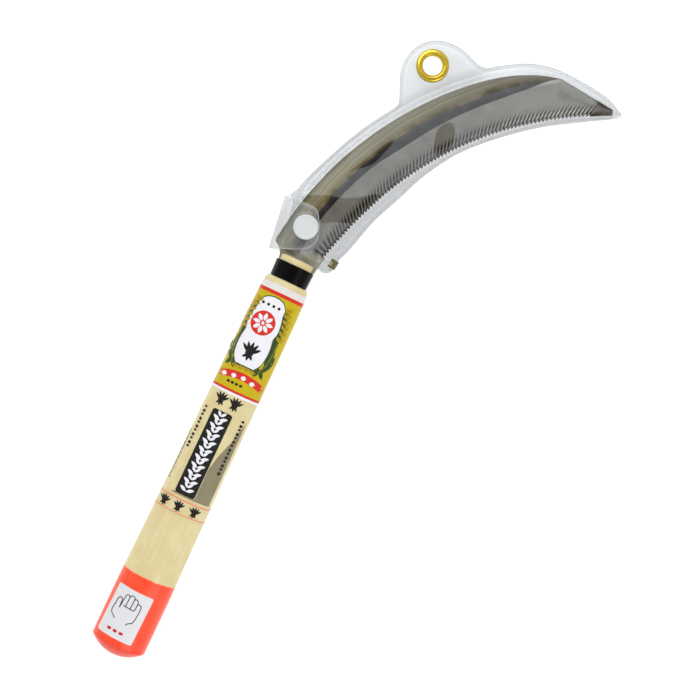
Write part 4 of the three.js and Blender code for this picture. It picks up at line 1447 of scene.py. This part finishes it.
def strap_points(outline, hole):
    """Points inside the tongue, closest together at the fold."""
    scatter = np.vstack([inset_rings(outline, (0.25, 0.6, 1.1, 1.4, 1.8)), hex_grid(outline, 0.95, 2.2)])
    rows, across = (0.12, 0.3, 0.55, 0.9, 1.4), np.linspace(-12.5, 12.5, 60)
    fold = np.stack([np.tile(rows, len(across)), np.repeat(across, len(rows))], -1)
    points = np.vstack([scatter[scatter[:, 0] > 1.9], fold])
    points = points[edge_distance(points, hole) > 0.2]
    return points[~inside(points, hole)]


def strap_height(u, v, snap):
    """Rises from the fold over the snap, droops at the free end and ripples between."""
    rise = STRAP_Z * np.sin(np.pi / 2 * np.clip(u / 8.2, 0, 1)) ** 0.9
    fall = 0.55 * ease(16.5, TONGUE_END, u) ** 1.5
    loose = ease(0.5, 4, u) * ease(6, 8, np.hypot(u - snap[0], v - snap[1]))
    return rise - fall + 0.12 * ripple(np.column_stack([u, v]), 0.14, 40) * loose


def make_strap():
    outline = evenly(strap_outline(), 0.7)
    to_snap = np.array([SNAP["x"], SNAP["y"]]) - STRAP_MIDDLE
    snap = to_snap @ STRAP_OUT, to_snap @ STRAP_UP
    hole = circle(*snap, 1.0, 16)
    co, tris = triangulate(outline, strap_points(outline, hole), [hole])
    u, v = co[:, 0], co[:, 1]
    z = strap_height(u, v, snap)
    steep = np.exp(-((u / 2.5) ** 2))
    lean, half = 0.14 * steep, STRAP_HALF * (1 - 0.5 * steep)
    verts = np.vstack([np.column_stack([u - lean, v, z + half]), np.column_stack([u + lean, v, z - half])])
    xy = STRAP_MIDDLE + verts[:, :1] * STRAP_OUT + verts[:, 1:2] * STRAP_UP
    solid = (np.column_stack([xy, verts[:, 2]]), leaf_solid(co, tris, z, z)[1])
    depth = edge_distance(co, outline)
    free = ease(0.8, 2.5, u)
    values = {
        "weld": np.tile(weld_mask(depth) * free + 1.1 * (1 - ease(2, 5, u)), 2),
        "edge": np.tile(cut_edge(depth) * free, 2),
        "cling": np.zeros(len(verts)),
    }
    return place("vinyl_strap", "strap", solid, CLEAR_STRAP, ["closure_strap"], 60, values)


# ---- Stage ----


# The floor, in m.
FLOOR_Z = -0.0002
FLOOR_REACH = 12.0
FLOOR_SLOPE = (-0.5, 1.0)  # the floor keeps the height of this range's borders beyond it
SHEATH_UNDERSIDE = 0.0021


def floor_height(x, y):
    """Level under the sickle, and falling away to the right under the way that the sheath slides off."""
    x, y = min(x, FLOOR_SLOPE[1]), float(np.clip(y, *FLOOR_SLOPE))
    tilt = BLADE_NORMAL.x * (x - PIVOT.x) + BLADE_NORMAL.y * (y - PIVOT.y)
    return FLOOR_Z + min(0.0, PIVOT.z - tilt / BLADE_NORMAL.z - SHEATH_UNDERSIDE)


def make_floor():
    ticks = [-FLOOR_REACH, FLOOR_SLOPE[0], *np.linspace(-0.4, FLOOR_SLOPE[1], 57), FLOOR_REACH]
    count = len(ticks)
    verts = [(x, y, floor_height(x, y)) for y in ticks for x in ticks]
    corners = [i * count + j for i in range(count - 1) for j in range(count - 1)]
    faces = [(c, c + 1, c + count + 1, c + count) for c in corners]
    mesh = bpy.data.meshes.new("floor")
    mesh.from_pydata(verts, [], faces)
    mesh.shade_smooth()
    look = Look("floor", Roughness=0.9, Emission_Strength=0.63)
    look.set("Base Color", (0.62, 0.62, 0.624, 1))
    look.set("Emission Color", (1, 1, 1, 1))
    mesh.materials.append(look.material)
    show("floor", mesh)


def area_light(name, spot, power, size):
    data = bpy.data.lights.new(name, "AREA")
    data.energy, data.size, data.shape = power, size, "DISK"
    lamp = bpy.data.objects.new(name, data)
    lamp.location = spot
    lamp.rotation_euler = (-Vector(spot)).to_track_quat("-Z", "Y").to_euler()
    bpy.context.scene.collection.objects.link(lamp)


# Brightness of the surroundings, as (height, level), from the horizon up to overhead.
SKY = [(0.0, 1.2), (0.12, 0.9), (0.6, 1.0), (0.82, 0.95), (0.97, 0.5)]


def make_light():
    world = bpy.data.worlds.new("studio")
    world.use_nodes = True
    nodes, links = world.node_tree.nodes, world.node_tree.links
    background = nodes["Background"]
    background.inputs["Strength"].default_value = 0.85
    direction = nodes.new("ShaderNodeTexCoord").outputs["Generated"]
    split = nodes.new("ShaderNodeSeparateXYZ")
    ramp = nodes.new("ShaderNodeValToRGB")
    links.new(direction, split.inputs[0])
    links.new(split.outputs["Z"], ramp.inputs[0])
    links.new(ramp.outputs["Color"], background.inputs["Color"])
    fill_ramp(ramp.color_ramp, SKY)
    bpy.context.scene.world = world
    area_light("key", (-0.5, 0.7, 1.3), 9, 1.0)
    area_light("fill", (0.9, -0.5, 1.1), 5, 1.0)
    bpy.context.scene.view_settings.view_transform = "Standard"


make_handle()
make_ferrule()
paint_nodes(PIN_STEEL, "tang_pin")
make_label()
make_sticker()
make_blade()
make_sheet("sheath_upper", front_outline(), 1, "sheath_front")
make_sheet("sheath_lower", back_outline(), -1, "sheath_back")
make_eyelet()
make_clip()
make_snap()
make_strap()
make_floor()
make_light()
